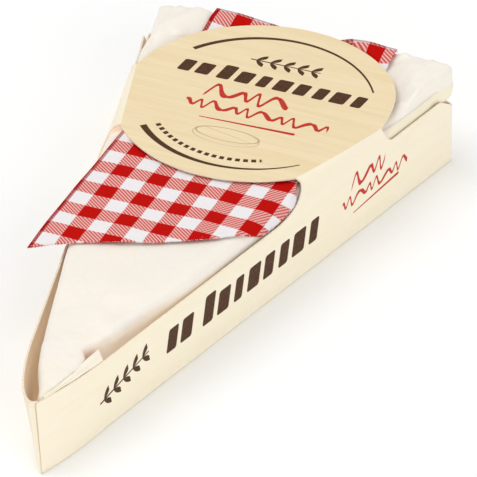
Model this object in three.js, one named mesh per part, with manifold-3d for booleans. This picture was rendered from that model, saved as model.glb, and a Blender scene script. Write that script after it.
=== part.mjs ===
import * as THREE from "three";
import { mergeVertices } from "three/addons/utils/BufferGeometryUtils.js";
import Module from "manifold-3d";

const wasm = await Module();
wasm.setup();

// A wedge of brie in white paper, standing in a boat-shaped tray of thin card. The card's two long
// walls run together at a pinched nose. In the middle they rise into necks that fold over the cheese
// and carry one round disc, so tray and disc are a single piece. A square of gingham cloth lies
// between the cheese and the disc.
// Sizes are millimetres. The pack is drawn about the point where its long walls would meet: +Y runs
// from there to the curved heel, and +Z is up.

// Card tray
const heelRadius = 186;
const halfAngle = THREE.MathUtils.degToRad(12.37);
const spread = Math.tan(halfAngle);
const card = 0.8;
const wallHeight = 19.2;
const cornerRadius = 1.6;
const noseEnd = 45;
const noseTip = {
    floor: { right: [3.7, 20.8], left: [3.1, 20.7] },
    rim: { right: [2.2, 21.0], left: [0.2, 20.8] },
};
const noseSwell = {
    floor: { right: [5.4, 24.8], left: [1.3, 25.0] },
    rim: { right: [3.9, 25.5], left: [-3.2, 23.2] },
};
const noseRun = {
    floor: { right: [7.9, 33.0], left: [-6.4, 36.5] },
    rim: { right: [7.2, 33.5], left: [-7.0, 32.5] },
};

// The side walls step down to a lower wall round the heel.
const heelDrop = { right: { from: 176, to: 181 }, left: { from: 174.5, to: 177 }, height: 15.8 };

// Necks and disc
const discRadius = 33.7;
const discCentre = [1.7, 151];
const discTop = 24.65;
const discFlat = 0.31;
const foldStart = 18.6;
const neck = {
    right: { notch: 110, front: 124.8, back: 152.5, slot: 157.5 },
    left: { notch: 115, front: 129.8, back: 155, slot: 161.5 },
};
const lean = {
    right: { atFront: 4.4, atBack: 0, back: 158, power: 1.5 },
    left: { atFront: 4.1, atBack: 2.7, back: 155, power: 1 },
};
const lip = 2;
const notchPower = 2.2;

// Wrapped cheese. Its paper stands in from the card near the nose, further on the right than on the
// left, and a folded flap of the paper fills part of the space on the right.
const gap = 0.3;
const cheeseFoot = card + gap;
const footEase = 1;
const footTuck = { depth: 2.2, from: 26, to: 43 };
const cheeseTip = { x: 1.9, y: 24.9, halfWidth: 0.7, blendFrom: 18, blendTo: 40 };
const sideGap = 0.5;
const frontInset = {
    right: { depth: 3, growFrom: 20, growTo: 44, from: 46, to: 80 },
    left: { depth: 2.1, growFrom: 0, growTo: 1, from: 36, to: 60 },
};
const paperFlap = { width: 2.7, height: 19.5, swellTo: 38, endFrom: 46, endTo: 49 };
const crownHeight = 22.75;
const tipFall = { depth: 4.4, from: 8, to: 78 };
const shoulderSteps = [[86, 1.8], [106, 3], [122, 3], [134, 4.2], [150, 4.2], [168, 1.6]];
const heelShoulder = 1.6;
const heelStart = 0.97 * heelRadius;
const cornerRise = { height: 3.1, from: 162, to: 174, clearOfDisc: 2.4, clearOfCloth: 1, slope: 5 };
const spine = { x: 1.7, from: 26, to: 60, lead: 2, first: 3, last: 32 };
const topRings = [6, 9, 13, 17];

// Gingham cloth
const clothThickness = 0.4;
const clothLift = 0.4;
const clothRight = 23;
const clothLeft = 24.2;
const clothBulge = { width: 0.8, from: 114, to: 128 };
const clothBack = 184.4;
const clothCorner = [-24, 75];
const clothFrontSteps = [clothCorner, [-13.5, 81], [2.6, 87.9], [14.7, 95.1], [20.2, 102.2],
    [22.4, 106.6]];
const cornerDroop = { depth: 0.5, reach: 16 };

const smooth = (low, high, value) => THREE.MathUtils.smoothstep(value, low, high);
const mix = (a, b, share) => a + (b - a) * share;
const signOf = { right: 1, left: -1 };

/** One closed body from positions and triangles, with its faces turned outwards. */
function closedGeometry(points, triangles) {
    let volume = 0;
    for (const [a, b, c] of triangles) {
        volume += points[a].dot(points[b].clone().cross(points[c]));
    }
    const ordered = volume < 0 ? triangles.map(([a, b, c]) => [a, c, b]) : triangles;
    const geometry = new THREE.BufferGeometry();
    geometry.setAttribute("position",
        new THREE.Float32BufferAttribute(points.flatMap((point) => point.toArray()), 3));
    geometry.setIndex(ordered.flat());
    return geometry;
}

/**
 * Loft through loops of equal length. Each loop runs there and back, so a cap joins its point i to
 * the point that mirrors it. With around = true the last loop joins the first and there are no caps.
 */
function loft(loops, around = false) {
    const count = loops[0].length;
    const points = loops.flat();
    const triangles = [];
    const bands = around ? loops.length : loops.length - 1;
    for (let row = 0; row < bands; row += 1) {
        const here = row * count;
        const next = ((row + 1) % loops.length) * count;
        for (let i = 0; i < count; i += 1) {
            const j = (i + 1) % count;
            triangles.push([here + i, here + j, next + j], [here + i, next + j, next + i]);
        }
    }
    if (!around) {
        const last = (loops.length - 1) * count;
        for (let i = 0; i < count / 2 - 1; i += 1) {
            const across = count - 1 - i;
            triangles.push([i, across, across - 1], [i, across - 1, i + 1]);
            triangles.push([last + i, last + across - 1, last + across],
                [last + i, last + i + 1, last + across - 1]);
        }
    }
    return closedGeometry(points, triangles);
}

/** A solid that manifold-3d can join and cut. */
function toSolid(geometry) {
    const bare = geometry.clone();
    bare.deleteAttribute("normal");
    bare.deleteAttribute("uv");
    const merged = mergeVertices(bare, 1e-5);
    return new wasm.Manifold(new wasm.Mesh({
        numProp: 3,
        vertProperties: new Float32Array(merged.getAttribute("position").array),
        triVerts: new Uint32Array(merged.getIndex().array),
    }));
}

function toGeometry(solid) {
    const mesh = solid.getMesh();
    const geometry = new THREE.BufferGeometry();
    geometry.setAttribute("position", new THREE.BufferAttribute(mesh.vertProperties, 3));
    geometry.setIndex(new THREE.BufferAttribute(mesh.triVerts, 1));
    return geometry;
}

/** Nose curve of one wall at one level, moved inwards by inset. */
function noseCurve(side, level, inset) {
    const inward = -signOf[side];
    const place = ([x, y], across, along) =>
        new THREE.Vector2(x + inward * inset * across, y + inset * along);
    return new THREE.CubicBezierCurve(
        place(noseTip[level][side], 0.2, 2.9),
        place(noseSwell[level][side], 0.75, 1.2),
        place(noseRun[level][side], 0.95, 0.3),
        new THREE.Vector2(signOf[side] * (noseEnd * spread - inset / Math.cos(halfAngle)), noseEnd),
    );
}

/** Places along one wall, nose to back corner, closer together where the top edge bends. */
function wallStations(side) {
    const { notch, front, back, slot } = neck[side];
    const even = (from, to, steps) =>
        Array.from({ length: steps }, (_, i) => mix(from, to, i / steps));
    const cornerStart = heelRadius * Math.cos(halfAngle) - cornerRadius;
    const dropFrom = heelDrop[side].from;
    return [...even(noseEnd, notch, 4), ...even(notch, front, 9), ...even(front, back, 9),
        ...even(back, slot, 6), ...even(slot, dropFrom, 2), ...even(dropFrom, cornerStart, 2),
        cornerStart];
}

/** Half of the plan of the card's face, from the nose to the middle of the heel. */
function halfPlan(side, level, inset) {
    const sign = signOf[side];
    const nose = noseCurve(side, level, inset).getPoints(8).slice(0, -1);
    const wall = wallStations(side).map((y) =>
        new THREE.Vector2(sign * (y * spread - inset / Math.cos(halfAngle)), y));
    const heel = heelRadius - inset;
    const bend = cornerRadius - inset;
    const turnFrom = wall[wall.length - 1];
    const heelAngle = halfAngle - (cornerRadius + 1) / heelRadius;
    const turnTo = new THREE.Vector2(sign * heel * Math.sin(heelAngle), heel * Math.cos(heelAngle));
    const turnMid = new THREE.Vector2(turnFrom.x + sign * bend * spread, turnFrom.y + bend);
    const corner = new THREE.QuadraticBezierCurve(turnFrom, turnMid, turnTo).getPoints(6).slice(1);
    const back = [];
    for (const share of [0.8, 0.6, 0.4, 0.2, 0]) {
        const angle = Math.max(heelAngle * share, 0.004);
        back.push(new THREE.Vector2(sign * heel * Math.sin(angle), heel * Math.cos(angle)));
    }
    return [...nose, ...wall, ...corner, ...back];
}

/** The whole plan, from the nose up the right side, round the heel and down the left side. */
function fullPlan(level, inset) {
    return [...halfPlan("right", level, inset), ...halfPlan("left", level, inset).reverse()];
}

/** How far the card leans inwards at its fold, where the wall reaches the place y. */
function foldLean(sign, y) {
    const side = sign > 0 ? "right" : "left";
    const { atFront, atBack, back, power } = lean[side];
    const toBack = THREE.MathUtils.clamp((back - y) / (back - neck[side].front), 0, 1);
    return mix(atBack, atFront, toBack ** power);
}

/** Height of the card's top edge at the place y: low walls, a neck, and a curved notch each side. */
function topEdge(sign, y, onWall) {
    const { notch, front, back, slot } = sign > 0 ? neck.right : neck.left;
    const drop = sign > 0 ? heelDrop.right : heelDrop.left;
    if (y > drop.from) {
        const share = THREE.MathUtils.clamp((y - drop.from) / (drop.to - drop.from), 0, 1);
        return mix(wallHeight, heelDrop.height, share);
    }
    if (!onWall || y <= notch || y >= slot) return wallHeight;
    const rise = discTop - wallHeight;
    if (y < front) return wallHeight + rise * ((y - notch) / (front - notch)) ** notchPower;
    if (y > back) return wallHeight + rise * ((slot - y) / (slot - back)) ** notchPower;
    return discTop;
}

/** The standing band of card: one cross-section for each place round the plan. */
function trayWalls() {
    const plans = {
        floorOut: fullPlan("floor", 0), rimOut: fullPlan("rim", 0),
        floorIn: fullPlan("floor", card), rimIn: fullPlan("rim", card),
    };
    const flatTop = 15;
    const foldRows = 5;
    const rise = discTop - foldStart;
    return loft(plans.floorOut.map((_, i) => {
        const at = (face, z) =>
            plans[`floor${face}`][i].clone().lerp(plans[`rim${face}`][i], z / wallHeight);
        const middle = plans.floorOut[i];
        const sign = Math.sign(middle.x);
        const onWall = Math.abs(Math.abs(middle.x) - middle.y * spread) < 0.01;
        const edge = topEdge(sign, middle.y, onWall);
        const shift = foldLean(sign, middle.y);
        const turn = Math.asin(THREE.MathUtils.clamp((edge - foldStart) / rise, 0, 1));
        const outer = [];
        const inner = [];
        for (const z of [0, flatTop]) {
            outer.push(new THREE.Vector3(...at("Out", z), z));
            inner.push(new THREE.Vector3(...at("In", z), z));
        }
        for (let row = 0; row < foldRows; row += 1) {
            const angle = turn * row / (foldRows - 1);
            const z = edge < foldStart ? mix(flatTop, edge, (row + 1) / foldRows)
                : foldStart + rise * Math.sin(angle);
            const out = at("Out", Math.min(z, wallHeight));
            const depth = at("In", Math.min(z, wallHeight)).sub(out);
            const bent = sign * shift * (1 - Math.cos(angle));
            outer.push(new THREE.Vector3(out.x - bent, out.y, z));
            inner.push(new THREE.Vector3(out.x - bent + depth.x * Math.cos(angle),
                out.y + depth.y * Math.cos(angle), z - card * Math.sin(angle)));
        }
        const { front, back } = sign > 0 ? neck.right : neck.left;
        const overDisc = onWall && middle.y > front + 1 && middle.y < back - 1 ? lip : 0.05;
        const top = outer[outer.length - 1];
        const under = inner[inner.length - 1];
        const along = new THREE.Vector3(-sign * overDisc * Math.sin(turn), 0, overDisc * Math.cos(turn));
        outer.push(top.clone().add(along));
        inner.push(under.clone().add(along));
        return [...outer, ...inner.reverse()];
    }), true);
}

function plate(plan, low, high) {
    return loft([low, high].map((z) => plan.map((point) => new THREE.Vector3(point.x, point.y, z))));
}

/** The round disc, cut off along the folds where the necks come up, and flatter behind the right one. */
function disc() {
    const round = new THREE.CylinderGeometry(discRadius, discRadius, card, 96);
    round.rotateX(Math.PI / 2);
    round.translate(...discCentre, discTop - card / 2);
    const steps = 12;
    const beyond = discRadius * 1.5;
    const sides = [];
    for (const sign of [1, -1]) {
        const { notch, front, back } = sign > 0 ? neck.right : neck.left;
        const foldFrom = mix(notch, front, 0.45);
        const foldTo = discCentre[1] + discRadius / 2;
        const side = [new THREE.Vector2(sign * beyond, notch)];
        for (let i = 0; i <= steps; i += 1) {
            const y = mix(foldFrom, foldTo, i / steps);
            const flat = sign > 0 ? discFlat * Math.max(0, y - back) : 0;
            side.push(new THREE.Vector2(sign * (y * spread - foldLean(sign, y) - flat), y));
        }
        side.push(new THREE.Vector2(sign * beyond, foldTo + discRadius));
        sides.push(side);
    }
    const between = plate([...sides[0], ...sides[1].reverse()], discTop - 2 * card, discTop + card);
    return toSolid(round).intersect(toSolid(between));
}

function cardTray() {
    const floor = plate(fullPlan("floor", card / 2), 0, card);
    return toGeometry(toSolid(trayWalls()).add(toSolid(floor)).add(disc()));
}

/** How far the paper stands in from the card's outer face at the place y. */
function cheeseInset(sign, y) {
    const { depth, growFrom, growTo, from, to } = sign > 0 ? frontInset.right : frontInset.left;
    return card + sideGap + depth * (1 - smooth(from, to, y)) * smooth(growFrom, growTo, y);
}

/** Width of the folded paper flap that fills the space beside the cheese, on the right near the tip. */
function flapWidth(sign, y) {
    const { width, swellTo, endFrom, endTo } = paperFlap;
    return sign > 0 ? width * (1 - smooth(endFrom, endTo, y)) * smooth(cheeseTip.y + 1, swellTo, y) : 0;
}

/** Height of the paper's top, before its edges round off. It falls to the tip and rises at the heel. */
function crown(x, y) {
    const slope = crownHeight - tipFall.depth * (1 - smooth(tipFall.from, tipFall.to, y));
    const { height, from, to, clearOfDisc, clearOfCloth } = cornerRise;
    const discClear = discRadius + clearOfDisc;
    const clothClear = clothLeft + clearOfCloth;
    const pastDisc = Math.hypot(x - discCentre[0], y - discCentre[1]);
    const corner = smooth(from, to, y) * smooth(clothClear, clothClear + cornerRise.slope, Math.abs(x));
    return slope + height * smooth(discClear, discClear + cornerRise.slope, pastDisc) * corner;
}

/** Radius of the paper's side edges. It follows the steps along the wedge. */
function shoulder(y) {
    let radius = shoulderSteps[0][1];
    for (let i = 1; i < shoulderSteps.length; i += 1) {
        const [from, before] = shoulderSteps[i - 1];
        const [to, after] = shoulderSteps[i];
        radius += (after - before) * smooth(from, to, y);
    }
    return radius;
}

/** Plan of the wrapped cheese, there and back like the card's plan, moved in by insetAt(point). */
function cheesePlan(insetAt) {
    const heel = heelRadius - card - sideGap;
    const onHeel = (sign, share) => new THREE.Vector2(
        sign * heel * Math.sin(halfAngle * share), heel * Math.cos(halfAngle * share));
    const ySteps = [28, 32, 37, 42, 45, 47, 49, 53, 60, 68, 76, 86, 96, 106, 118, 130, 142, 154, 164,
        171, 178];
    const heelShares = [0.88, 0.8, 0.74, 0.68, 0.62, 0.5, 0.25, 0.02];
    const half = (sign) => {
        const flank = ySteps.map((y) => {
            const room = cheeseInset(sign, y) - flapWidth(sign, y);
            const atTip = cheeseTip.x + sign * cheeseTip.halfWidth;
            const share = smooth(cheeseTip.blendFrom, cheeseTip.blendTo, y);
            return new THREE.Vector2(mix(atTip, sign * (y * spread - room), share), y);
        });
        const end = flank[flank.length - 1];
        const cornerPull = new THREE.Vector2(end.x + sign * 0.55, onHeel(sign, 0.97).y);
        const corner = new THREE.QuadraticBezierCurve(end, cornerPull, onHeel(sign, 0.95));
        const tip = new THREE.Vector2(cheeseTip.x + sign * cheeseTip.halfWidth * 0.4, cheeseTip.y);
        return [tip, ...flank, ...corner.getPoints(5).slice(1),
            ...heelShares.map((share) => onHeel(sign, share))];
    };
    const outline = [...half(1), ...half(-1).reverse()];
    return outline.map((point) => {
        const first = cheeseTip.y + spine.first;
        const towards = new THREE.Vector2(mix(spine.x, 0, smooth(spine.from, spine.to, point.y)),
            THREE.MathUtils.clamp(point.y + spine.lead, first, heelRadius - spine.last));
        return point.lerp(towards, Math.min(insetAt(point) / towards.distanceTo(point), 0.85));
    });
}

function wrappedBrie() {
    const ringAt = (insetAt, height) => cheesePlan(insetAt).map((point) =>
        new THREE.Vector3(point.x, point.y, height(point)));
    const rounding = (point) => (point.y > heelStart ? heelShoulder : shoulder(point.y));
    const outer = cheesePlan(() => 0);
    const tuck = (point) => (point.x < cheeseTip.x
        ? footTuck.depth * (1 - smooth(footTuck.from, footTuck.to, point.y)) : 0);
    const rings = [
        ringAt((point) => tuck(point) + footEase, () => cheeseFoot),
        ringAt(tuck, () => cheeseFoot + footEase),
    ];
    const ledge = outer.map((point) => flapWidth(Math.sign(point.x - cheeseTip.x), point.y));
    const turns = 5;
    for (let step = 0; step <= turns; step += 1) {
        const angle = Math.PI / 2 * step / turns;
        rings.push(outer.map((point, i) => {
            const round = rounding(point);
            const inset = round * (1 - Math.cos(angle)) + ledge[i];
            const place = cheesePlan(() => inset)[i];
            const top = crown(place.x, place.y);
            return new THREE.Vector3(place.x, place.y, top - round * (1 - Math.sin(angle)));
        }));
    }
    const justUnder = 0.1;
    const onFlap = outer.map((point, i) => {
        const under = rings[2][i].z - justUnder;
        const height = ledge[i] > 0.05 ? Math.min(paperFlap.height, under) : under;
        return new THREE.Vector3(point.x, point.y, height);
    });
    rings.splice(2, 0, onFlap);
    for (const inset of topRings) {
        rings.push(ringAt(() => inset, (point) => crown(point.x, point.y)));
    }
    return loft(rings);
}

/** Height of the cloth's lower face: it lies on the paper and bends down over its right shoulder. */
function clothHeight(x, y) {
    if (x <= 0) return crown(x, y) + clothLift;
    const round = shoulder(y);
    const bend = round + clothLift;
    const inFromSide = y * spread - cheeseInset(1, y) - x;
    const over = THREE.MathUtils.clamp(round - inFromSide, 0, 0.97 * bend);
    return crown(x, y) + clothLift - (bend - Math.sqrt(bend * bend - over * over));
}

/** The cloth: a thin sheet over the paper, cut slanting in front, one stiff corner past the card. */
function ginghamSheet() {
    const across = 24;
    const along = 26;
    const front = new THREE.CatmullRomCurve3(
        clothFrontSteps.map(([x, y]) => new THREE.Vector3(x, y, 0)), false, "catmullrom", 0.5);
    const loops = [];
    for (let j = 0; j <= along; j += 1) {
        const upper = [];
        const lower = [];
        for (let i = 0; i <= across; i += 1) {
            const start = front.getPoint(i / across);
            const y = mix(start.y, clothBack, j / along);
            const bulge = clothBulge.width * (1 - smooth(clothBulge.from, clothBulge.to, y));
            const widest = Math.min(clothRight + bulge, y * spread - card - gap);
            const onBack = mix(-clothLeft, clothRight, i / across);
            const atWall = Math.max(0, i / across * 4 - 3);
            const x = Math.min(mix(mix(start.x, onBack, j / along), widest, atWall), widest);
            const fromCorner = Math.hypot(x - clothCorner[0], y - clothCorner[1]);
            const droop = cornerDroop.depth * (1 - smooth(0, cornerDroop.reach, fromCorner));
            const z = clothHeight(x, y) - droop;
            lower.push(new THREE.Vector3(x, y, z));
            upper.push(new THREE.Vector3(x, y, z + clothThickness));
        }
        loops.push([...upper, ...lower.reverse()]);
    }
    return loft(loops);
}

const finishes = {
    card: { color: 0xf4eaca, roughness: 0.55, metalness: 0 },
    paper: { color: 0xf8f4ea, roughness: 0.5, metalness: 0 },
    cloth: { color: 0xd0605c, roughness: 0.9, metalness: 0 },
};

function named(name, geometry, finish) {
    const mesh = new THREE.Mesh(geometry, new THREE.MeshStandardMaterial(finishes[finish]));
    mesh.name = name;
    return mesh;
}

const briePack = new THREE.Group();
briePack.add(
    named("card_tray", cardTray(), "card"),
    named("wrapped_brie", wrappedBrie(), "paper"),
    named("gingham_sheet", ginghamSheet(), "cloth"),
);

// The finished group stands on its tray, centred over the origin.
const box = new THREE.Box3().setFromObject(briePack);
const middle = box.getCenter(new THREE.Vector3());
briePack.position.set(-middle.x, -middle.y, -box.min.z);
const wedge = new THREE.Group();
wedge.add(briePack);

export default wedge;
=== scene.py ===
import math

import bmesh
import bpy
import numpy as np
from bpy.props import FloatProperty, FloatVectorProperty, IntProperty, PointerProperty
from mathutils import Matrix, Vector, noise


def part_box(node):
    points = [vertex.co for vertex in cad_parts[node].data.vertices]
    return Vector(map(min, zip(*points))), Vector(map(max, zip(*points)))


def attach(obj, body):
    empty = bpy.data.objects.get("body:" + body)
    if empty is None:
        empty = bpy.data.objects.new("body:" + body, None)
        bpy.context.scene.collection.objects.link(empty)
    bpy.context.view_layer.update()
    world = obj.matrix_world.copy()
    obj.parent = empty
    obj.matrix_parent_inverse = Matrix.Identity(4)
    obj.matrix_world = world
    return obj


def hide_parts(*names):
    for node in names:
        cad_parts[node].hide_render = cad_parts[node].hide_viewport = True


bl_info = {
    "name": "Brie Wedge Pack",
    "version": (1, 0, 0),
    "blender": (4, 5, 0),
    "location": "View3D > Sidebar > Brie Wedge",
    "description": "A wedge of brie in paper, in a card tray with a round disc over a gingham cloth",
    "category": "Add Mesh",
}

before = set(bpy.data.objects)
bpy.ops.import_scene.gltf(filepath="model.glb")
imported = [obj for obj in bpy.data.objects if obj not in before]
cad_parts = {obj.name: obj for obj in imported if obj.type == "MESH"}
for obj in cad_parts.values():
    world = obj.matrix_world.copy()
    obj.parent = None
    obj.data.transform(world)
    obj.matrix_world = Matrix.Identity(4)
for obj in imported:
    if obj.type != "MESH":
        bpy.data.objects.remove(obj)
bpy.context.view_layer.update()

# Sizes below are millimetres in the plan of the pack: +Y runs from the point where the long walls
# would meet to the curved heel. The frame has the same axes, in metres, and is moved along Y.
MM = 0.001
RIGHT, LEFT = 1, -1
HEEL_RADIUS = 186.0
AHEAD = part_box("card_tray")[1].y / MM - HEEL_RADIUS
HALF_ANGLE = math.radians(12.37)
SPREAD = math.tan(HALF_ANGLE)

# The card's walls, from the pinched nose to the heel
CARD = 0.8
CARD_EDGE = 0.45
EDGE_SWELL = 0.08
FLOOR_BEND = 0.7
BEND_STEPS = 3
WALL_HEIGHT = 19.2
WALL_ROWS = (3, 5.5, 8, 10.5, 13, 15, 17)
THINNING = (8, 17)
LEFT_WALL_LEAN = (118, 130), (166, 174), 0.5
CORNER_RADIUS = 1.6
CORNER_STEPS = 12
NOSE_END = 45.0
NOSE_STEPS = 24
NOSE_TIP = {("floor", RIGHT): (3.7, 20.8), ("floor", LEFT): (3.1, 20.7),
            ("rim", RIGHT): (2.2, 21.0), ("rim", LEFT): (0.2, 20.8)}
NOSE_SWELL = {("floor", RIGHT): (5.4, 24.8), ("floor", LEFT): (1.3, 25.0),
              ("rim", RIGHT): (3.9, 25.5), ("rim", LEFT): (-3.2, 23.2)}
NOSE_RUN = {("floor", RIGHT): (7.9, 33.0), ("floor", LEFT): (-6.4, 36.5),
            ("rim", RIGHT): (7.2, 33.5), ("rim", LEFT): (-7.0, 32.5)}
HEEL_DROP = {RIGHT: (176.0, 181.0), LEFT: (174.5, 177.0)}
HEEL_WALL = 15.8
HEEL_STEPS = 20

# The disc and the necks that carry it
DISC_RADIUS = 33.7
DISC_CENTRE = (1.7, 151.0)
DISC_TOP = 24.65
DISC_RINGS = 22
DISC_ARC_STEPS = 84
DISC_FLAT_TURN = math.radians(39)
FOLD_START = 18.6
FOLD_STEPS = 10
NOTCH_POWER = 2.2
NECKS = {
    RIGHT: {"notch": 110.0, "front": 124.8, "back": 152.5, "slot": 157.5,
            "lean_front": 4.4, "lean_back": 0.0, "lean_to": 158.0, "power": 1.5},
    LEFT: {"notch": 115.0, "front": 129.8, "back": 155.0, "slot": 161.5,
           "lean_front": 4.1, "lean_back": 2.7, "lean_to": 155.0, "power": 1.0},
}

# The cheese in its paper
CHEESE_FOOT = 1.1
CHEESE_TIP = (1.9, 24.2)
PAPER_TOP = 26.5
SIDE_GAP = 0.5
SIDE_LEVELS = (0.0, 0.06, 0.3, 0.55, 0.7, 0.85, 1.0)
TOP_INSETS = (5, 6, 7, 8, 10, 12, 14, 17, 20, 24, 28)

# The gap beside the paper: where along the wedge it opens, where it closes, and how wide it is
CREVICE = (28, 46), (46, 80), 3.0
CREVICE_BY_FLAP = (42.6, 44.2), (45, 53), 1.6

# A start value and its steps. A step is where it begins, where it ends, and its change
LEFT_INSET = 2.1, ((36, 56, -1.0), (60, 80, -1.1))
CROWN_SLOPE = 18.35, ((8, 78, 4.4),)
CROWN_RIGHT = 1.5, ((23.9, 25.2, 1.5), (25, 31, 0.6))
CROWN_LEFT = 1.1, ((23.4, 25.4, 0.9), (25.5, 28.5, 0.4), (31, 35.5, -0.7))
SHOULDER_RIGHT = 1.8, ((86, 106, 1.2), (122, 134, 1.2), (150, 168, -3.2))
SHOULDER_LEFT = 1.8, ((86, 100, -0.6), (126.5, 131.5, 3.0), (150, 168, -3.2))

# Dents of the paper near the nose: place, size and depth
DENTS = ((7.5, 55, 3.0, 0.45), (3.5, 52, 2.6, -0.4), (-1.0, 47, 3.2, 0.4), (5.5, 61, 4.0, -0.35),
         (0.5, 58, 4.5, 0.35), (-4.0, 60, 5.0, -0.25), (2.0, 68, 6.0, 0.3))
BACK_LEAN = 1.25
STRIP_CREASE = 21.8
CRINKLE_IN = 0.6
CRINKLE_OUT = 0.45
CRINKLE_OUT_ON_SIDE = 0.22
CRINKLE_OUT_UNDER_CLOTH = 0.1

# The paper's flap, with its two long sides from the nose on
FLAP_OUTER = ((2.9, 24.2), (5.0, 30.3), (6.9, 36.3), (8.2, 40.6), (9.0, 44.0))
FLAP_INNER = ((2.4, 24.5), (3.8, 30.7), (4.9, 36.2), (5.2, 40.6), (6.2, 47.6))
FLAP_ALONG, FLAP_ACROSS = 60, 16
FLAP_HEIGHT = 19.1
FLAP_THICKNESS = 0.14

# The cloth and its loose threads
CLOTH_BACK = 184.65
CLOTH_FRONT = ((-24.0, 75.0), (-13.5, 81.0), (2.6, 87.9), (14.7, 95.1), (20.2, 102.2), (22.4, 106.6))
CLOTH_LEFT = 24.1
CLOTH_RIGHT = 25.47, ((119, 125, -1.7), (114, 132, -0.62), (160, 180, 0.45))
CLOTH_GAP = 0.4
CLOTH_THICKNESS = 0.4
CLOTH_ACROSS, CLOTH_ALONG = 92, 200
ROW_STEP = 0.25
OVER_RIM_FROM = 20
WEAVE_UNIT = 100
THREAD_TURN_LEAST = tuple(math.radians(angle) for angle in (70, -22, 20))
THREAD_TURN_MOST = tuple(math.radians(angle) for angle in (110, 22, 110))
THREAD_SIZE_LEAST, THREAD_SIZE_MOST = 0.4, 1.0

# Places in the materials. Whole turns keep a repeating place above zero
BLACK = (0.0, 0.0, 0.0)
PRINT_TURN = 204
UNDERSIDE = 0.35
SELVEDGE = 0.95
YARN_PITCH = 0.42
WHOLE_TURNS = 100.0

# The stage, in metres and watts. A light is its place and its power
FLOOR_REACH = 3.0
SKY_STRENGTH = 0.69
LIGHT_SIZE = 0.9
LIGHTS = {"key": ((-0.5, -0.1, 1.1), 5.0), "fill": ((0.9, -0.7, 0.55), 4.0)}
SENSOR_WIDTH = 36
FAR_CLIP = 30


def linear(red, green, blue):
    """A colour given in 0 to 255 steps, as the linear numbers that shaders use."""
    def channel(value):
        value = value / 255
        return value / 12.92 if value <= 0.04045 else ((value + 0.055) / 1.055) ** 2.4
    return (channel(red), channel(green), channel(blue))


def smooth(low, high, value):
    """0 below low and 1 above high, with a smooth rise between them."""
    share = np.clip((value - low) / (high - low), 0, 1)
    return share * share * (3 - 2 * share)


def mix(start, end, share):
    return start + (end - start) * share


def hump(value, up, down, height=1.0):
    """Rises over the range up, stays at height, and falls over the range down."""
    return height * smooth(*up, value) * (1 - smooth(*down, value))


def stepped(value, start, steps):
    """A start value with smooth steps: where each begins, where it ends and its change."""
    return start + sum(change * smooth(low, high, value) for low, high, change in steps)


# Shader expressions

class Value:
    """A shader socket that Python's operators work on. Each operator adds one Math node."""

    def __init__(self, tree, socket):
        self.tree = tree
        self.socket = socket

    def math(self, operation, *others, clamp=False):
        return self.math_of(operation, (self, *others), clamp)

    def math_of(self, operation, items, clamp=False):
        node = add_node(self.tree, "ShaderNodeMath", {"operation": operation, "use_clamp": clamp},
                        dict(enumerate(items)))
        return Value(self.tree, node.outputs[0])

    def __add__(self, other):
        return self.math("ADD", other)

    def __radd__(self, other):
        return self.math("ADD", other)

    def __sub__(self, other):
        return self.math("SUBTRACT", other)

    def __rsub__(self, other):
        return self.math_of("SUBTRACT", (other, self))

    def __mul__(self, other):
        return self.math("MULTIPLY", other)

    def __rmul__(self, other):
        return self.math("MULTIPLY", other)

    def __truediv__(self, other):
        return self.math("DIVIDE", other)

    def __abs__(self):
        return self.math("ABSOLUTE")

    def __gt__(self, other):
        return self.math("GREATER_THAN", other)

    def __lt__(self, other):
        return self.math("LESS_THAN", other)

    def sqrt(self):
        return self.math("SQRT")

    def sin(self):
        return self.math("SINE")

    def fract(self):
        return self.math("FRACT")

    def clamp(self):
        return self.math("ADD", 0.0, clamp=True)

    def max(self, other):
        return self.math("MAXIMUM", other)

    def min(self, other):
        return self.math("MINIMUM", other)

    def within(self, limit, soft=0.1):
        """1 where this is under the limit, 0 above it, with a soft edge."""
        return ((limit - self) / soft + 0.5).clamp()


def feed(tree, socket, item):
    """Links a value to a socket, or sets a plain number, colour or vector on it."""
    if isinstance(item, Value):
        tree.links.new(item.socket, socket)
    else:
        socket.default_value = item


def add_node(tree, kind, settings=None, inputs=None):
    """Adds one node: first its settings, then the values or links of its sockets."""
    made = tree.nodes.new(kind)
    for name, value in (settings or {}).items():
        setattr(made, name, value)
    for key, item in (inputs or {}).items():
        feed(tree, made.inputs[key], item)
    return made


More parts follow.
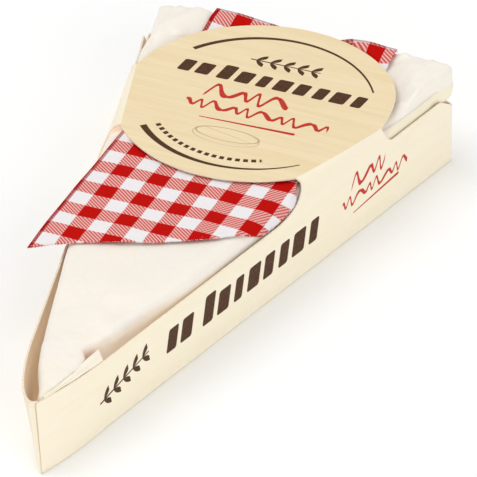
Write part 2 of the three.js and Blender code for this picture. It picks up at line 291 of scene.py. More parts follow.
class Finish:
    """A material and its nodes. Its coordinates are millimetres in the plan of the pack."""

    def __init__(self, name, roughness=0.5, specular=0.5):
        self.material = bpy.data.materials.new(name)
        self.material.use_nodes = True
        self.tree = self.material.node_tree
        self.shader = self.tree.nodes["Principled BSDF"]
        self.shader.inputs["Roughness"].default_value = roughness
        self.shader.inputs["Specular IOR Level"].default_value = specular

    def node(self, kind, settings=None, inputs=None, output=0):
        made = add_node(self.tree, kind, settings, inputs)
        return Value(self.tree, made.outputs[output])

    def place(self):
        """Object coordinates as plan millimetres."""
        coords = self.node("ShaderNodeTexCoord", output="Object")
        return self.node("ShaderNodeMapping", None,
                         {"Vector": coords, "Location": (0, -AHEAD, 0), "Scale": (1 / MM,) * 3})

    def split(self, vector):
        parts = add_node(self.tree, "ShaderNodeSeparateXYZ", None, {0: vector})
        return [Value(self.tree, output) for output in parts.outputs]

    def join(self, x, y, z):
        return self.node("ShaderNodeCombineXYZ", None, {0: x, 1: y, 2: z})

    def scaled(self, vector, scale, turn=(0, 0, 0)):
        return self.node("ShaderNodeMapping", None, {"Vector": vector, "Scale": scale, "Rotation": turn})

    def noise(self, vector, scale, detail=2.0, roughness=0.5, distortion=0.0):
        return self.node("ShaderNodeTexNoise", None, {
            "Vector": vector, "Scale": scale, "Detail": detail, "Roughness": roughness,
            "Distortion": distortion})

    def blend(self, share, first, second):
        """A colour that goes from first to second with share."""
        first, second = (item if isinstance(item, Value) else (*item, 1) for item in (first, second))
        return self.node("ShaderNodeMix", {"data_type": "RGBA"}, {0: share, 6: first, 7: second}, 2)

    def colour(self, item):
        feed(self.tree, self.shader.inputs["Base Color"], item)

    def roughness(self, item):
        feed(self.tree, self.shader.inputs["Roughness"], item)

    def painted_glow(self, item, strength):
        """Painted light: a faint constant glow of the surface, which lightens it where shade falls."""
        feed(self.tree, self.shader.inputs["Emission Color"], item)
        self.shader.inputs["Emission Strength"].default_value = strength

    def bump(self, height, distance, strength=1.0):
        made = self.node("ShaderNodeBump", None, {
            "Height": height, "Distance": distance * MM, "Strength": strength})
        feed(self.tree, self.shader.inputs["Normal"], made)


# Print shapes, as masks on two coordinates in millimetres

def stroke(u, v, start, end, width_start, width_end, soft=0.12):
    """A straight brush stroke whose width changes from its start to its end."""
    run = (end[0] - start[0], end[1] - start[1])
    length2 = run[0] ** 2 + run[1] ** 2
    from_u = u - start[0]
    from_v = v - start[1]
    share = ((from_u * run[0] + from_v * run[1]) / length2).clamp()
    off_u = from_u - share * run[0]
    off_v = from_v - share * run[1]
    away = (off_u * off_u + off_v * off_v).sqrt()
    return away.within(share * ((width_end - width_start) / 2) + width_start / 2, soft)


def scribble(u, v, low, high, base, rise, wavelength, width, soft=0.15):
    """A brush line that runs up and down in uneven loops from low to high."""
    turn = 2 * math.pi / wavelength
    uneven = (u * (turn * 0.37)).sin()
    line = (u * turn + uneven * 1.3).sin() * (uneven * 0.35 + 1) * rise + base
    inside = abs(u - (low + high) / 2).within((high - low) / 2, soft)
    steep = abs((u * turn + uneven * 1.3 + math.pi / 2).sin()) * (rise * turn * 0.55) + 1
    return (abs(v - line) / steep).within(width / 2, soft) * inside


def bold_bars(u, v, low, bottom, pitch, count, height, slant, first=1.0, soft=0.12):
    """A row of slanted bars with round corners and uneven widths. The first may stand taller."""
    corner = pitch * 0.12
    leaned = (u - v * slant - (low - bottom * slant)) / pitch
    index = leaned.math("FLOOR")
    half_width = (index * 2.4).sin() * (pitch * 0.07) + pitch * 0.34
    tall = abs(index).within(0.5, 0.01) * (height * (first - 1)) + height
    across = (abs(leaned.fract() - 0.5) * pitch - half_width + corner).max(0.0)
    upward = (abs(v - bottom - tall / 2) - tall / 2 + corner).max(0.0)
    away = (across * across + upward * upward).sqrt()
    in_row = abs(index - (count - 1) / 2).within(count / 2, 0.01)
    return away.within(corner, soft) * in_row


def arc_line(u, v, centre, radius, middle_angle, half_angle, width_start, width_end, soft=0.12):
    """A tapering line on a circle, from one end to the other."""
    off_u = u - centre[0]
    off_v = v - centre[1]
    along_u, along_v = math.cos(middle_angle), math.sin(middle_angle)
    ahead = off_u * along_u + off_v * along_v
    beside = off_v * along_u - off_u * along_v
    share = beside.math("ARCTAN2", ahead) / half_angle
    width = share * ((width_end - width_start) / 2) + (width_end + width_start) / 2
    away = (off_u * off_u + off_v * off_v).sqrt()
    return abs(away - radius).within(width / 2, soft) * abs(share).within(1.0, 0.01)


def oval_line(u, v, centre, half_u, half_v, lean, width, soft=0.1):
    """A thin oval outline, its long axis leaning."""
    cos_lean, sin_lean = math.cos(lean), math.sin(lean)
    off_u = u - centre[0]
    off_v = v - centre[1]
    long_way = (off_u * cos_lean + off_v * sin_lean) / half_u
    short_way = (off_v * cos_lean - off_u * sin_lean) / half_v
    away = (long_way * long_way + short_way * short_way).sqrt()
    return (abs(away - 1) * min(half_u, half_v)).within(width / 2, soft)


def leaf_sprig(u, v, start, end, leaves, leaf_length, width):
    """A stem with pairs of filled leaves, made by folding the plane along the stem."""
    run = Vector((end[0] - start[0], end[1] - start[1]))
    along = run.normalized()
    off_u = u - start[0]
    off_v = v - start[1]
    ahead = off_u * along.x + off_v * along.y
    beside = abs(off_v * along.x - off_u * along.y)
    pitch = run.length / leaves
    local = (ahead / pitch).fract() * pitch - pitch * 0.35
    lean = math.radians(42)
    long_way = local * math.cos(lean) + beside * math.sin(lean)
    short_way = beside * math.cos(lean) - local * math.sin(lean)
    bulge = long_way / leaf_length
    leaf = abs(short_way).within(bulge * (1 - bulge) * (width * 2), 0.12) * bulge.within(1.0, 0.02)
    inside = abs(ahead - run.length / 2).within(run.length / 2, 0.05)
    stem = stroke(u, v, start, end, width * 0.35, width * 0.25)
    return stem.max(leaf * inside)


# Meshes

def mesh_object(name, points, faces, materials=(), face_materials=None, edges=()):
    """A piece with its object at the origin, made from plan points in millimetres."""
    mesh = bpy.data.meshes.new(name)
    placed = np.asarray(points, float) * MM
    placed[:, 1] += AHEAD * MM
    mesh.from_pydata(placed.tolist(), edges, faces)
    for material in materials:
        mesh.materials.append(material)
    if face_materials is not None:
        mesh.polygons.foreach_set("material_index", face_materials)
    piece = bpy.data.objects.new(name, mesh)
    bpy.context.scene.collection.objects.link(piece)
    return piece


def finish_mesh(piece, sharp_angle=38.0, merge=0.002):
    """Merges doubles, turns the faces outwards and sets smooth shading with sharp edges."""
    work = bmesh.new()
    work.from_mesh(piece.data)
    bmesh.ops.remove_doubles(work, verts=work.verts, dist=merge * MM)
    bmesh.ops.dissolve_degenerate(work, edges=work.edges, dist=merge * MM * 0.5)
    bmesh.ops.recalc_face_normals(work, faces=work.faces)
    limit = math.radians(sharp_angle)
    for face in work.faces:
        face.smooth = True
    for edge in work.edges:
        edge.smooth = len(edge.link_faces) == 2 and edge.calc_face_angle(0) < limit
    work.to_mesh(piece.data)
    work.free()
    return piece


def plain_mesh(piece):
    """Turns the result of an object's modifiers into its own mesh."""
    graph = bpy.context.evaluated_depsgraph_get()
    graph.update()
    mesh = bpy.data.meshes.new_from_object(piece.evaluated_get(graph), depsgraph=graph)
    piece.modifiers.clear()
    piece.data = mesh
    return piece


def vectors(items, field):
    """One vector field of a mesh's vertices or normals, with a row for each."""
    flat = np.zeros(len(items) * 3)
    items.foreach_get(field, flat)
    return flat.reshape(-1, 3)


def border(across, along):
    """Indexes round the edge of a grid of points that is stored row by row."""
    width = across + 1
    return (list(range(width)) + [i * width + across for i in range(1, along + 1)]
            + [along * width + j for j in range(across - 1, -1, -1)]
            + [i * width for i in range(along - 1, 0, -1)])


def sheet_faces(across, along):
    """Faces of a sheet's lower grid of points, and of the upper grid that follows it."""
    width = across + 1
    count = width * (along + 1)
    faces = []
    for i in range(along):
        for j in range(across):
            a = i * width + j
            faces.append((a, a + width, a + width + 1, a + 1))
            faces.append((count + a, count + a + 1, count + a + width + 1, count + a + width))
    return faces


def bezier(points, shares):
    """Points on the curve that four control points give."""
    first, second, third, last = (np.array(point, float) for point in points)
    share = np.asarray(shares, float)[:, None]
    rest = 1 - share
    return (rest ** 3 * first + 3 * rest ** 2 * share * second
            + 3 * rest * share ** 2 * third + share ** 3 * last)


def round_corner(start, middle, end, steps):
    """Points that lead round a corner from start to end, without the start itself."""
    share = np.linspace(0, 1, steps + 1)[1:, None]
    return (1 - share) ** 2 * start + 2 * (1 - share) * share * middle + share ** 2 * end


def even(start, end, step):
    """Places from start towards end, about a step apart, without the end itself."""
    return list(np.linspace(start, end, max(1, round((end - start) / step)), endpoint=False))


# The card tray with its disc

def fold_lean(side, y):
    """How far the fold between neck and disc stands in from the wall's plane."""
    neck = NECKS[side]
    to_back = float(np.clip((neck["lean_to"] - y) / (neck["lean_to"] - neck["front"]), 0, 1))
    return mix(neck["lean_back"], neck["lean_front"], to_back ** neck["power"])


def wall_lean(side, y):
    """The left wall leans in a little below its fold."""
    return hump(y, *LEFT_WALL_LEAN) if side == LEFT else 0.0


def fold_line(side, y):
    """Place of the fold between neck and disc."""
    return np.array([side * (y * SPREAD - fold_lean(side, y)), y])


def disc_meets_fold(side, low, high):
    """The place along a fold where the disc's round edge crosses it."""
    def outside(y):
        return np.hypot(*(fold_line(side, y) - DISC_CENTRE)) - DISC_RADIUS
    sign = outside(low)
    for _ in range(40):
        middle = (low + high) / 2
        if outside(middle) * sign > 0:
            low = middle
        else:
            high = middle
    return (low + high) / 2


def neck_ends():
    """For each side, where its neck starts at the disc's edge and where it ends."""
    return {side: (disc_meets_fold(side, neck["front"] - 4, neck["front"] + 8), neck["back"])
            for side, neck in NECKS.items()}


def top_edge(side, y, meets):
    """Height of the card's edge: low wall, curved notch, neck, curved slot."""
    neck = NECKS[side]
    front, back = meets[side]
    rise = DISC_TOP - WALL_HEIGHT
    start, end = HEEL_DROP[side]
    if y > start:
        return mix(WALL_HEIGHT, HEEL_WALL, min(1.0, (y - start) / (end - start)))
    if y <= neck["notch"] or y >= neck["slot"]:
        return WALL_HEIGHT
    if y < front:
        return WALL_HEIGHT + rise * ((y - neck["notch"]) / (front - neck["notch"])) ** NOTCH_POWER
    if y > back:
        return WALL_HEIGHT + rise * ((neck["slot"] - y) / (neck["slot"] - back)) ** NOTCH_POWER
    return DISC_TOP


def wall_places(side, meets):
    """Places of the upright sections along a long wall, closer together on the curved edges."""
    neck = NECKS[side]
    front, back = meets[side]
    corner = HEEL_RADIUS * math.cos(HALF_ANGLE) - CORNER_RADIUS
    return (even(NOSE_END, neck["notch"], 2.5) + even(neck["notch"], front, 0.5)
            + even(front, back, 1.0) + even(back, neck["slot"], 0.4)
            + even(neck["slot"], HEEL_DROP[side][0], 1.5)
            + list(np.linspace(HEEL_DROP[side][0], corner, 8)))


def half_plan(side, level, inset, meets):
    """Half of the card's plan, from the nose to the middle of the heel."""
    def nose_point(table, across, along):
        x, y = table[level, side]
        return (x - side * inset * across, y + inset * along)
    wall_end = (side * (NOSE_END * SPREAD - inset / math.cos(HALF_ANGLE)), NOSE_END)
    nose = bezier((nose_point(NOSE_TIP, 0.2, 2.9), nose_point(NOSE_SWELL, 0.75, 1.2),
                   nose_point(NOSE_RUN, 0.95, 0.3), wall_end), np.linspace(0, 1, NOSE_STEPS + 1)[:-1])
    other = NOSE_TIP[level, -side]
    middle = np.array([nose[0][0] * 0.6 + (other[0] + side * inset * 0.2) * 0.4, nose[0][1]])
    groove = nose[0] + (-0.1, 1.0) if side == RIGHT else mix(nose[0], np.array(other), 0.72) + (0, 0.25)
    nose = np.vstack([[middle if inset else groove], nose])
    ys = np.array(wall_places(side, meets))
    wall = np.column_stack([side * (ys * SPREAD - inset / math.cos(HALF_ANGLE)), ys])
    heel = HEEL_RADIUS - inset
    bend = CORNER_RADIUS - inset
    end_angle = HALF_ANGLE - (CORNER_RADIUS + 1) / HEEL_RADIUS
    turn_to = np.array([side * heel * math.sin(end_angle), heel * math.cos(end_angle)])
    turn_mid = wall[-1] + np.array([side * bend * SPREAD, bend])
    corner = round_corner(wall[-1], turn_mid, turn_to, CORNER_STEPS)
    angles = np.maximum(end_angle * np.linspace(1, 0, HEEL_STEPS + 1)[1:], 0.001)
    back = np.column_stack([side * heel * np.sin(angles), heel * np.cos(angles)])
    return np.vstack([nose, wall, corner, back])


def card_section(at, edge, shift):
    """Outer and inner points of one upright section, from the bend at the floor to the edge.

    at gives the place of a face at a height. shift is how far the section leans in past the fold."""
    outer, inner = [], []
    for step in range(BEND_STEPS + 1):
        angle = math.pi / 2 * step / BEND_STEPS
        z = FLOOR_BEND * (1 - math.cos(angle))
        inwards = (at("in", z) - at("out", z)) / CARD
        outer.append((*(at("out", z) + inwards * FLOOR_BEND * (1 - math.sin(angle))), z))
        inner.append((*(at("in", z) + inwards * 0.15 * (BEND_STEPS - step)), CARD))
    highest = WALL_ROWS[-1]
    lower = min(1.0, (edge - 0.4) / highest)
    for z in np.array(WALL_ROWS) * lower:
        thick = mix(1.0, CARD_EDGE / CARD, smooth(*THINNING, z))
        outer.append((*at("out", z), z))
        inner.append((*mix(at("out", z), at("in", z), thick), z))
    rise = DISC_TOP - FOLD_START
    turn = math.asin(np.clip((edge - FOLD_START) / rise, 0, 1))
    for step in range(FOLD_STEPS + 1):
        angle = turn * step / FOLD_STEPS
        z = FOLD_START + rise * math.sin(angle)
        if edge < FOLD_START:
            z = mix(highest * lower, edge, (step + 1) / (FOLD_STEPS + 1))
        out = at("out", z)
        depth = (at("in", z) - out) * CARD_EDGE / CARD
        bent = shift * (1 - math.cos(angle))
        outer.append((out[0] - bent, out[1], z))
        inner.append((out[0] - bent + depth[0] * math.cos(angle),
                      out[1] + depth[1] * math.cos(angle), z - CARD_EDGE * math.sin(angle)))
    return outer, inner


def card_sections(meets):
    """Outer and inner points of the card at each station round the plan, and each neck's stations."""
    plans = {}
    for level in ("floor", "rim"):
        for face, inset in (("out", 0.0), ("in", CARD)):
            right = half_plan(RIGHT, level, inset, meets)
            left = half_plan(LEFT, level, inset, meets)[::-1]
            plans[level, face] = np.vstack([right, left])
    right_count = len(half_plan(RIGHT, "floor", 0, meets))
    total = len(plans["floor", "out"])
    walls = {}
    for side in (RIGHT, LEFT):
        for step, y in enumerate(wall_places(side, meets), NOSE_STEPS + 1):
            walls[step if side == RIGHT else total - 1 - step] = y
    outer_rows, inner_rows, neck_stations = [], [], {RIGHT: [], LEFT: []}
    for index in range(total):
        side = RIGHT if index < right_count else LEFT
        at_heel = plans["floor", "out"][index][1] > HEEL_DROP[RIGHT][1] - 1
        edge = HEEL_WALL if at_heel else WALL_HEIGHT
        shift, tilt = 0.0, 0.0
        if index in walls:
            y = walls[index]
            edge = top_edge(side, y, meets)
            tilt = side * wall_lean(side, y)
            shift = fold_lean(side, y) - abs(tilt)
            if meets[side][0] - 1e-6 <= y <= meets[side][1] + 1e-6:
                neck_stations[side].append(index)
                edge = DISC_TOP

        def at(face, z):
            share = min(z, WALL_HEIGHT) / WALL_HEIGHT
            place = mix(plans["floor", face][index], plans["rim", face][index], share)
            return place - (tilt * smooth(4, 18, z), 0)
        outer, inner = card_section(at, edge, side * shift)
        outer_rows.append(outer)
        inner_rows.append(inner)
    neck_stations[LEFT].sort(reverse=True)
    return np.array(outer_rows), np.array(inner_rows), neck_stations


class CardShell:
    """The card's closed mesh as it is put together. A station is one upright section of the walls."""
    OUTSIDE, INSIDE, CUT_EDGE, DISC_FACE = range(4)

    def __init__(self):
        meets = neck_ends()
        self.outer, self.inner, self.necks = card_sections(meets)
        self.count, self.rows = self.outer.shape[:2]
        self.points = [*self.outer.reshape(-1, 3), *self.inner.reshape(-1, 3)]
        self.faces, self.kinds = [], []
        self.rim_middle = {}

    def out_id(self, station, row):
        return (station % self.count) * self.rows + row % self.rows

    def in_id(self, station, row):
        return self.count * self.rows + self.out_id(station, row)

    def edge_ids(self, station):
        """The top, middle and under point of a station's edge."""
        return self.out_id(station, -1), self.rim_middle.get(station), self.in_id(station, -1)

    def add_point(self, point):
        self.points.append(point)
        return len(self.points) - 1

    def add_face(self, kind, *corners):
        self.faces.append(corners)
        self.kinds.append(kind)

    def add_edge_strip(self, first, second):
        """Two faces of the cut edge, between the edge points of two neighbours."""
        (top_a, middle_a, under_a), (top_b, middle_b, under_b) = first, second
        self.add_face(self.CUT_EDGE, top_a, top_b, middle_b, middle_a)
        self.add_face(self.CUT_EDGE, middle_a, middle_b, under_b, under_a)

    def add_walls_and_floor(self):
        """Faces between neighbouring stations, and across the floor from wall to wall."""
        out_id, in_id = self.out_id, self.in_id
        for i in range(self.count):
            for row in range(self.rows - 1):
                self.add_face(self.OUTSIDE, out_id(i, row), out_id(i + 1, row),
                              out_id(i + 1, row + 1), out_id(i, row + 1))
                self.add_face(self.INSIDE, in_id(i, row), in_id(i, row + 1),
                              in_id(i + 1, row + 1), in_id(i + 1, row))
        for i in range(self.count // 2 - 1):
            across = self.count - 1 - i
            self.add_face(self.OUTSIDE, out_id(i, 0), out_id(across, 0),
                          out_id(across - 1, 0), out_id(i + 1, 0))
            self.add_face(self.INSIDE, in_id(i, 0), in_id(i + 1, 0),
                          in_id(across - 1, 0), in_id(across, 0))

    def add_rim(self):
        """The cut edge on top of the walls, but not where a neck goes on into the disc."""
        on_neck = {*self.necks[RIGHT], *self.necks[LEFT]}
        ends = {self.necks[side][end] for side in (RIGHT, LEFT) for end in (0, -1)}
        for i in range(self.count):
            if i in on_neck and i not in ends:
                continue
            top, under = self.outer[i][-1], self.inner[i][-1]
            swell = 0.0 if i in ends else EDGE_SWELL
            way = top - self.outer[i][-2] + (0, 0, 1e-9)
            self.rim_middle[i] = self.add_point((top + under) / 2 + way / np.linalg.norm(way) * swell)
        for i in range(self.count):
            j = (i + 1) % self.count
            if i not in on_neck or j not in on_neck:
                self.add_edge_strip(self.edge_ids(i), self.edge_ids(j))

    def disc_arc(self, start, end):
        """Edge points of the disc's free edge between two neck stations, round and a little swollen."""
        centre = np.array(DISC_CENTRE)
        first = self.outer[start][-1][:2] - centre
        last = self.outer[end][-1][:2] - centre
        from_angle = math.atan2(first[1], first[0])
        to_angle = math.atan2(last[1], last[0])
        if to_angle < from_angle:
            to_angle += 2 * math.pi
        arc = [self.edge_ids(start)]
        for step in range(1, DISC_ARC_STEPS):
            angle = mix(from_angle, to_angle, step / DISC_ARC_STEPS)
            radius = DISC_RADIUS
            for end_point, turned in ((first, angle - from_angle), (last, to_angle - angle)):
                flat = DISC_RADIUS - np.linalg.norm(end_point)
                radius -= flat * (1 - smooth(0, DISC_FLAT_TURN, turned))
            way = np.array([math.cos(angle), math.sin(angle)])
            swell = EDGE_SWELL * min(1, step / 3, (DISC_ARC_STEPS - step) / 3)
            arc.append(tuple(self.add_point((*(centre + way * (radius + extra)), DISC_TOP - depth))
                             for depth, extra in ((0, 0), (CARD_EDGE / 2, swell), (CARD_EDGE, 0))))
        arc.append(self.edge_ids(end))
        return arc

    def add_disc(self):
        """The disc: its free edges, and rings that run in from its outline to its centre."""
        right, left = self.necks[RIGHT], self.necks[LEFT]
        back_arc = self.disc_arc(right[-1], left[-1])
        front_arc = self.disc_arc(left[0], right[0])
        for arc in (back_arc, front_arc):
            for first, second in zip(arc, arc[1:]):
                self.add_edge_strip(first, second)
        right_side = [self.edge_ids(i) for i in right[1:-1]]
        left_side = [self.edge_ids(i) for i in left[-2:0:-1]]
        outline = [*right_side, *back_arc, *left_side, *front_arc]
        for level, kind in ((0, self.DISC_FACE), (2, self.INSIDE)):
            ring = [ids[level] for ids in outline]
            edge = np.array([self.points[i] for i in ring])
            middle = np.array([*DISC_CENTRE, edge[:, 2].mean()])
            for step in range(1, DISC_RINGS):
                share = 1 - step / DISC_RINGS
                next_ring = [self.add_point(middle + (point - middle) * share) for point in edge]
                for a in range(len(ring)):
                    b = (a + 1) % len(ring)
                    self.add_face(kind, ring[a], ring[b], next_ring[b], next_ring[a])
                ring = next_ring
            last = self.add_point(middle)
            for a in range(len(ring)):
                self.add_face(kind, ring[a], ring[(a + 1) % len(ring)], last)


def build_card(name, materials):
    """Floor, standing walls, necks and the disc, as folded from one blank."""
    shell = CardShell()
    shell.add_walls_and_floor()
    shell.add_rim()
    shell.add_disc()
    return finish_mesh(mesh_object(name, shell.points, shell.faces, materials, shell.kinds))


# The cheese in its paper

def cheese_inset(side, y, spread_out=0.0):
    """How far the paper stands in from the card, less where the cheese spreads out lower down."""
    on_right = (hump(y, *CREVICE) + hump(y, *CREVICE_BY_FLAP)) * (1 - spread_out)
    on_left = stepped(y, *LEFT_INSET)
    return CARD + SIDE_GAP + np.where(np.asarray(side) > 0, on_right, on_left)


def crown(x, y):
    """Height of the paper's top before its edges round off. It stands highest at the back corners."""
    slope = stepped(y, *CROWN_SLOPE)
    away = np.hypot(x - DISC_CENTRE[0], y - DISC_CENTRE[1])
    out = np.abs(x)
    rise = mix(stepped(out, *CROWN_LEFT), stepped(out, *CROWN_RIGHT), smooth(-20, 20, x))
    behind_disc = smooth(DISC_RADIUS - 0.5, DISC_RADIUS + 5.5, away) * smooth(158, 172, y)
    return slope + rise * behind_disc


def shoulder(y, side=RIGHT):
    """Radius of the paper's side edges."""
    return np.where(np.asarray(side) > 0, stepped(y, *SHOULDER_RIGHT), stepped(y, *SHOULDER_LEFT))


def cheese_outline(spread_out=0.0):
    """The paper's plan as one loop, from the tip along the right side and back along the left."""
    tip = CHEESE_TIP
    heel = HEEL_RADIUS - CARD - SIDE_GAP
    halves = []
    ys = np.concatenate([np.arange(25.5, 42, 1.0), np.arange(42, 50, 0.5), np.arange(50, 177, 2.5),
                         [178.5, 179.6]])
    for side in (RIGHT, LEFT):
        room = cheese_inset(side, ys, spread_out)
        xs = mix(tip[0] + side * 0.7, side * (ys * SPREAD - room), smooth(18, 40, ys))
        flank = np.column_stack([xs, ys])
        turn = heel * np.array([side * math.sin(HALF_ANGLE * 0.94), math.cos(HALF_ANGLE * 0.94)])
        corner_mid = flank[-1] + (side * 0.3, 1.15)
        corner = round_corner(flank[-1], corner_mid, turn, 10)
        angles = HALF_ANGLE * np.append(np.arange(0.9, 0.02, -0.04), 0.01)
        back = np.column_stack([side * heel * np.sin(angles), heel * np.cos(angles)])
        halves.append(np.vstack([[tip[0] + side * 0.28, tip[1]], flank, corner, back]))
    return np.vstack([halves[0], halves[1][::-1]])


def inward(outline, inset):
    """The outline moved in towards the middle line of the wedge."""
    spine = np.column_stack([mix(1.7, 0.0, smooth(26, 60, outline[:, 1])),
                             np.clip(outline[:, 1] + 2, CHEESE_TIP[1] + 3, HEEL_RADIUS - 32)])
    reach = np.hypot(*(spine - outline).T)
    share = np.minimum(np.asarray(inset) / reach, 0.85)
    return mix(outline, spine, share[:, None])


def paper_rings():
    """Outlines of the paper from its foot up the sides, round the shoulder and in over the top."""
    outline = cheese_outline()
    y = outline[:, 1]
    around = np.where(y > HEEL_RADIUS * 0.97, 0.9, shoulder(y, outline[:, 0] - CHEESE_TIP[0]))
    tuck = np.where(outline[:, 0] < CHEESE_TIP[0], 2.2 * (1 - smooth(26, 43, y)), 0.0)
    shoulders = []
    for angle in np.linspace(0, math.pi / 2, 9):
        plan = inward(outline, around * (1 - math.cos(angle)))
        top = crown(plan[:, 0], plan[:, 1])
        shoulders.append(np.column_stack([plan, top - around * (1 - math.sin(angle))]))
    side_top = shoulders[0][:, 2] - 0.1
    rings = []
    for share in SIDE_LEVELS:
        wide = cheese_outline(1 - smooth(0.5, 0.9, share))
        foot = 1.0 if share == 0 else 0.0
        plan = inward(wide, tuck * (1 - share) + foot)
        rings.append(np.column_stack([plan, mix(CHEESE_FOOT, side_top, share)]))
    rings += shoulders
    for inset in TOP_INSETS:
        plan = inward(outline, np.full(len(outline), float(inset)))
        rings.append(np.column_stack([plan, crown(plan[:, 0], plan[:, 1])]))
    return rings


def loft(name, rings, materials):
    """A closed mesh through rings of equal length, each running there and back."""
    count = len(rings[0])
    points = np.vstack(rings)
    faces = []
    for row in range(len(rings) - 1):
        for i in range(count):
            j = (i + 1) % count
            faces.append((row * count + i, row * count + j, (row + 1) * count + j, (row + 1) * count + i))
    last = (len(rings) - 1) * count
    for i in range(count // 2 - 1):
        across = count - 1 - i
        faces.append((i, across, across - 1, i + 1))
        faces.append((last + i, last + i + 1, last + across - 1, last + across))
    return mesh_object(name, points, faces, materials)


def crease(place, scale, seed):
    """Sharp folds as in paper: 1 on a fold line, falling off on both sides."""
    value = noise.noise(Vector(place) * scale + Vector((seed, seed * 1.7, seed * 0.3)))
    return 1 - min(1, abs(value) * 5)


def facet(place, scale, seed):
    """Flat facets with straight folds between them, from the nearest of scattered points."""
    spot = Vector(place) * scale + Vector((seed, 0, seed))
    distances = noise.voronoi(spot)[0]
    return distances[1] - distances[0]


def crinkle(points, normals):
    """How far each point of the paper moves along its normal, in millimetres."""
    x, y, z = points.T
    on_side = 1 - np.abs(normals[:, 2])
    right_corner = smooth(22, 30, x) * smooth(158, 172, y)
    left_corner = smooth(20, 27, -x) * smooth(150, 168, y)
    heel = smooth(182, 184.5, np.hypot(x, y)) * smooth(17, 20, z)
    tip = 1 - smooth(40, 66, y)
    strip = smooth(24, 27, x) * hump(y, (155, 157), (172, 176))
    covered = hump(x, (-24, -21), (20, 23)) * smooth(84, 96, y)
    moves = np.zeros(len(points))
    for dent_x, dent_y, size, depth in DENTS:
        near = np.exp(-((x - dent_x) ** 2 + (y - dent_y) ** 2) / size ** 2)
        moves += depth * near * smooth(17, 19, z)
    strong = 0.12 + 1.15 * left_corner + 0.5 * right_corner + 0.8 * heel + 0.55 * tip
    for index, place in enumerate(points):
        soft = noise.noise(Vector(place) * 0.06) * 0.35
        folds = crease(place, scale=0.11, seed=3.1) * 0.22 + crease(place, scale=0.19, seed=8.4) * 0.12
        facets = facet(place, scale=0.16, seed=5.2) * 0.3
        moves[index] += soft + (folds + facets - 0.15) * strong[index]
    pleats = np.cos(np.arctan2(x, y) * 95)
    moves += pleats * 0.3 * heel
    moves += 0.35 * strip * (1 - smooth(STRIP_CREASE - 0.5, STRIP_CREASE + 0.1, z)) * on_side
    limit = np.where(covered > 0.5, CRINKLE_OUT_UNDER_CLOTH, CRINKLE_OUT)
    limit = np.minimum(limit, mix(CRINKLE_OUT, CRINKLE_OUT_ON_SIDE, on_side))
    return np.clip(moves, -CRINKLE_IN, limit) * smooth(1, 5, z)


def paper_bulge(points):
    """How far the paper leans out at its back corners and beside the disc, in millimetres."""
    x, y, z = points.T
    outward = points[:, :2] / np.linalg.norm(points[:, :2], axis=1)[:, None]
    at_back = smooth(16, 23, np.abs(x)) * smooth(172, 178, y)
    lean = BACK_LEAN * smooth(17.5, 21.5, z) * at_back * np.where(x > 0, 1.0, 0.55)
    moves = outward * lean[:, None]
    moves[:, 0] += 0.75 * smooth(16.5, 19, z) * smooth(33, 36, x) * smooth(174, 178, y)
    moves[:, 0] += 1.6 * smooth(12, 20, z) * smooth(32, 36, -x) * smooth(158, 170, y)
    moves[:, 0] += 0.35 * smooth(17.5, 19, z) * (1 - smooth(21, 22.5, z)) * smooth(28, 33, x)
    return moves


def build_paper(name, material, voxel):
    """The crinkled paper: a loft, remeshed to an even grid whose points then move."""
    piece = loft(name, paper_rings(), [material])
    finish_mesh(piece)
    remesh = piece.modifiers.new("even", "REMESH")
    remesh.mode = "VOXEL"
    remesh.voxel_size = voxel * MM
    remesh.use_smooth_shade = True
    relax = piece.modifiers.new("relax", "SMOOTH")
    relax.factor = 0.5
    relax.iterations = 3
    mesh = plain_mesh(piece).data
    mesh.materials.clear()
    mesh.materials.append(material)
    moved = vectors(mesh.vertices, "co")
    normals = vectors(mesh.vertex_normals, "vector")
    plan = moved / MM
    plan[:, 1] -= AHEAD
    moved += normals * crinkle(plan, normals)[:, None] * MM
    moved[:, :2] += paper_bulge(plan) * MM
    moved[:, 2] = np.minimum(moved[:, 2], PAPER_TOP * MM)
    mesh.vertices.foreach_set("co", moved.ravel())
    mesh.update()
    for polygon in mesh.polygons:
        polygon.use_smooth = True
    return piece


def build_flap(name, material):
    """The folded corner of the paper, lying in the space beside the wall near the nose."""
    outer_side, inner_side = np.array(FLAP_OUTER), np.array(FLAP_INNER)
    under = []
    for i in range(FLAP_ALONG + 1):
        share = i / FLAP_ALONG * (len(outer_side) - 1)
        low = min(int(share), len(outer_side) - 2)
        outer = mix(outer_side[low], outer_side[low + 1], share - low)
        inner = mix(inner_side[low], inner_side[low + 1], share - low)
        for j in range(FLAP_ACROSS + 1):
            across = j / FLAP_ACROSS
            x, y = mix(outer, inner, across)
            layer = 0.28 * smooth(0.42, 0.52, across) - 0.12 * smooth(0.3, 0.4, across)
            under.append((x, y, FLAP_HEIGHT + layer + 0.08 * math.sin(y * 0.7 + across * 3)))
    under = np.array(under)
    edge = border(FLAP_ACROSS, FLAP_ALONG)
    faces = sheet_faces(FLAP_ACROSS, FLAP_ALONG)
    for a, b in zip(edge, edge[1:] + edge[:1]):
        faces.append((a, b, len(under) + b, len(under) + a))
    piece = mesh_object(name, np.vstack([under, under + (0, 0, FLAP_THICKNESS)]), faces, [material])
    return finish_mesh(piece, 60)


# The gingham cloth

def cloth_height(x, y):
    """Height of the cloth's lower face: on the paper, bent down over its right shoulder."""
    bend = shoulder(y) + CLOTH_GAP
    in_from_side = y * SPREAD - cheese_inset(RIGHT, y) - x
    past = shoulder(y) - in_from_side
    over = np.clip(past, 0, 0.97 * bend)
    hang = 4 * np.maximum(past - over, 0) * (over > 0)
    fall = bend - np.sqrt(bend ** 2 - over ** 2) + hang
    return crown(x, y) + CLOTH_GAP - np.where(x > 0, fall, 0.0)


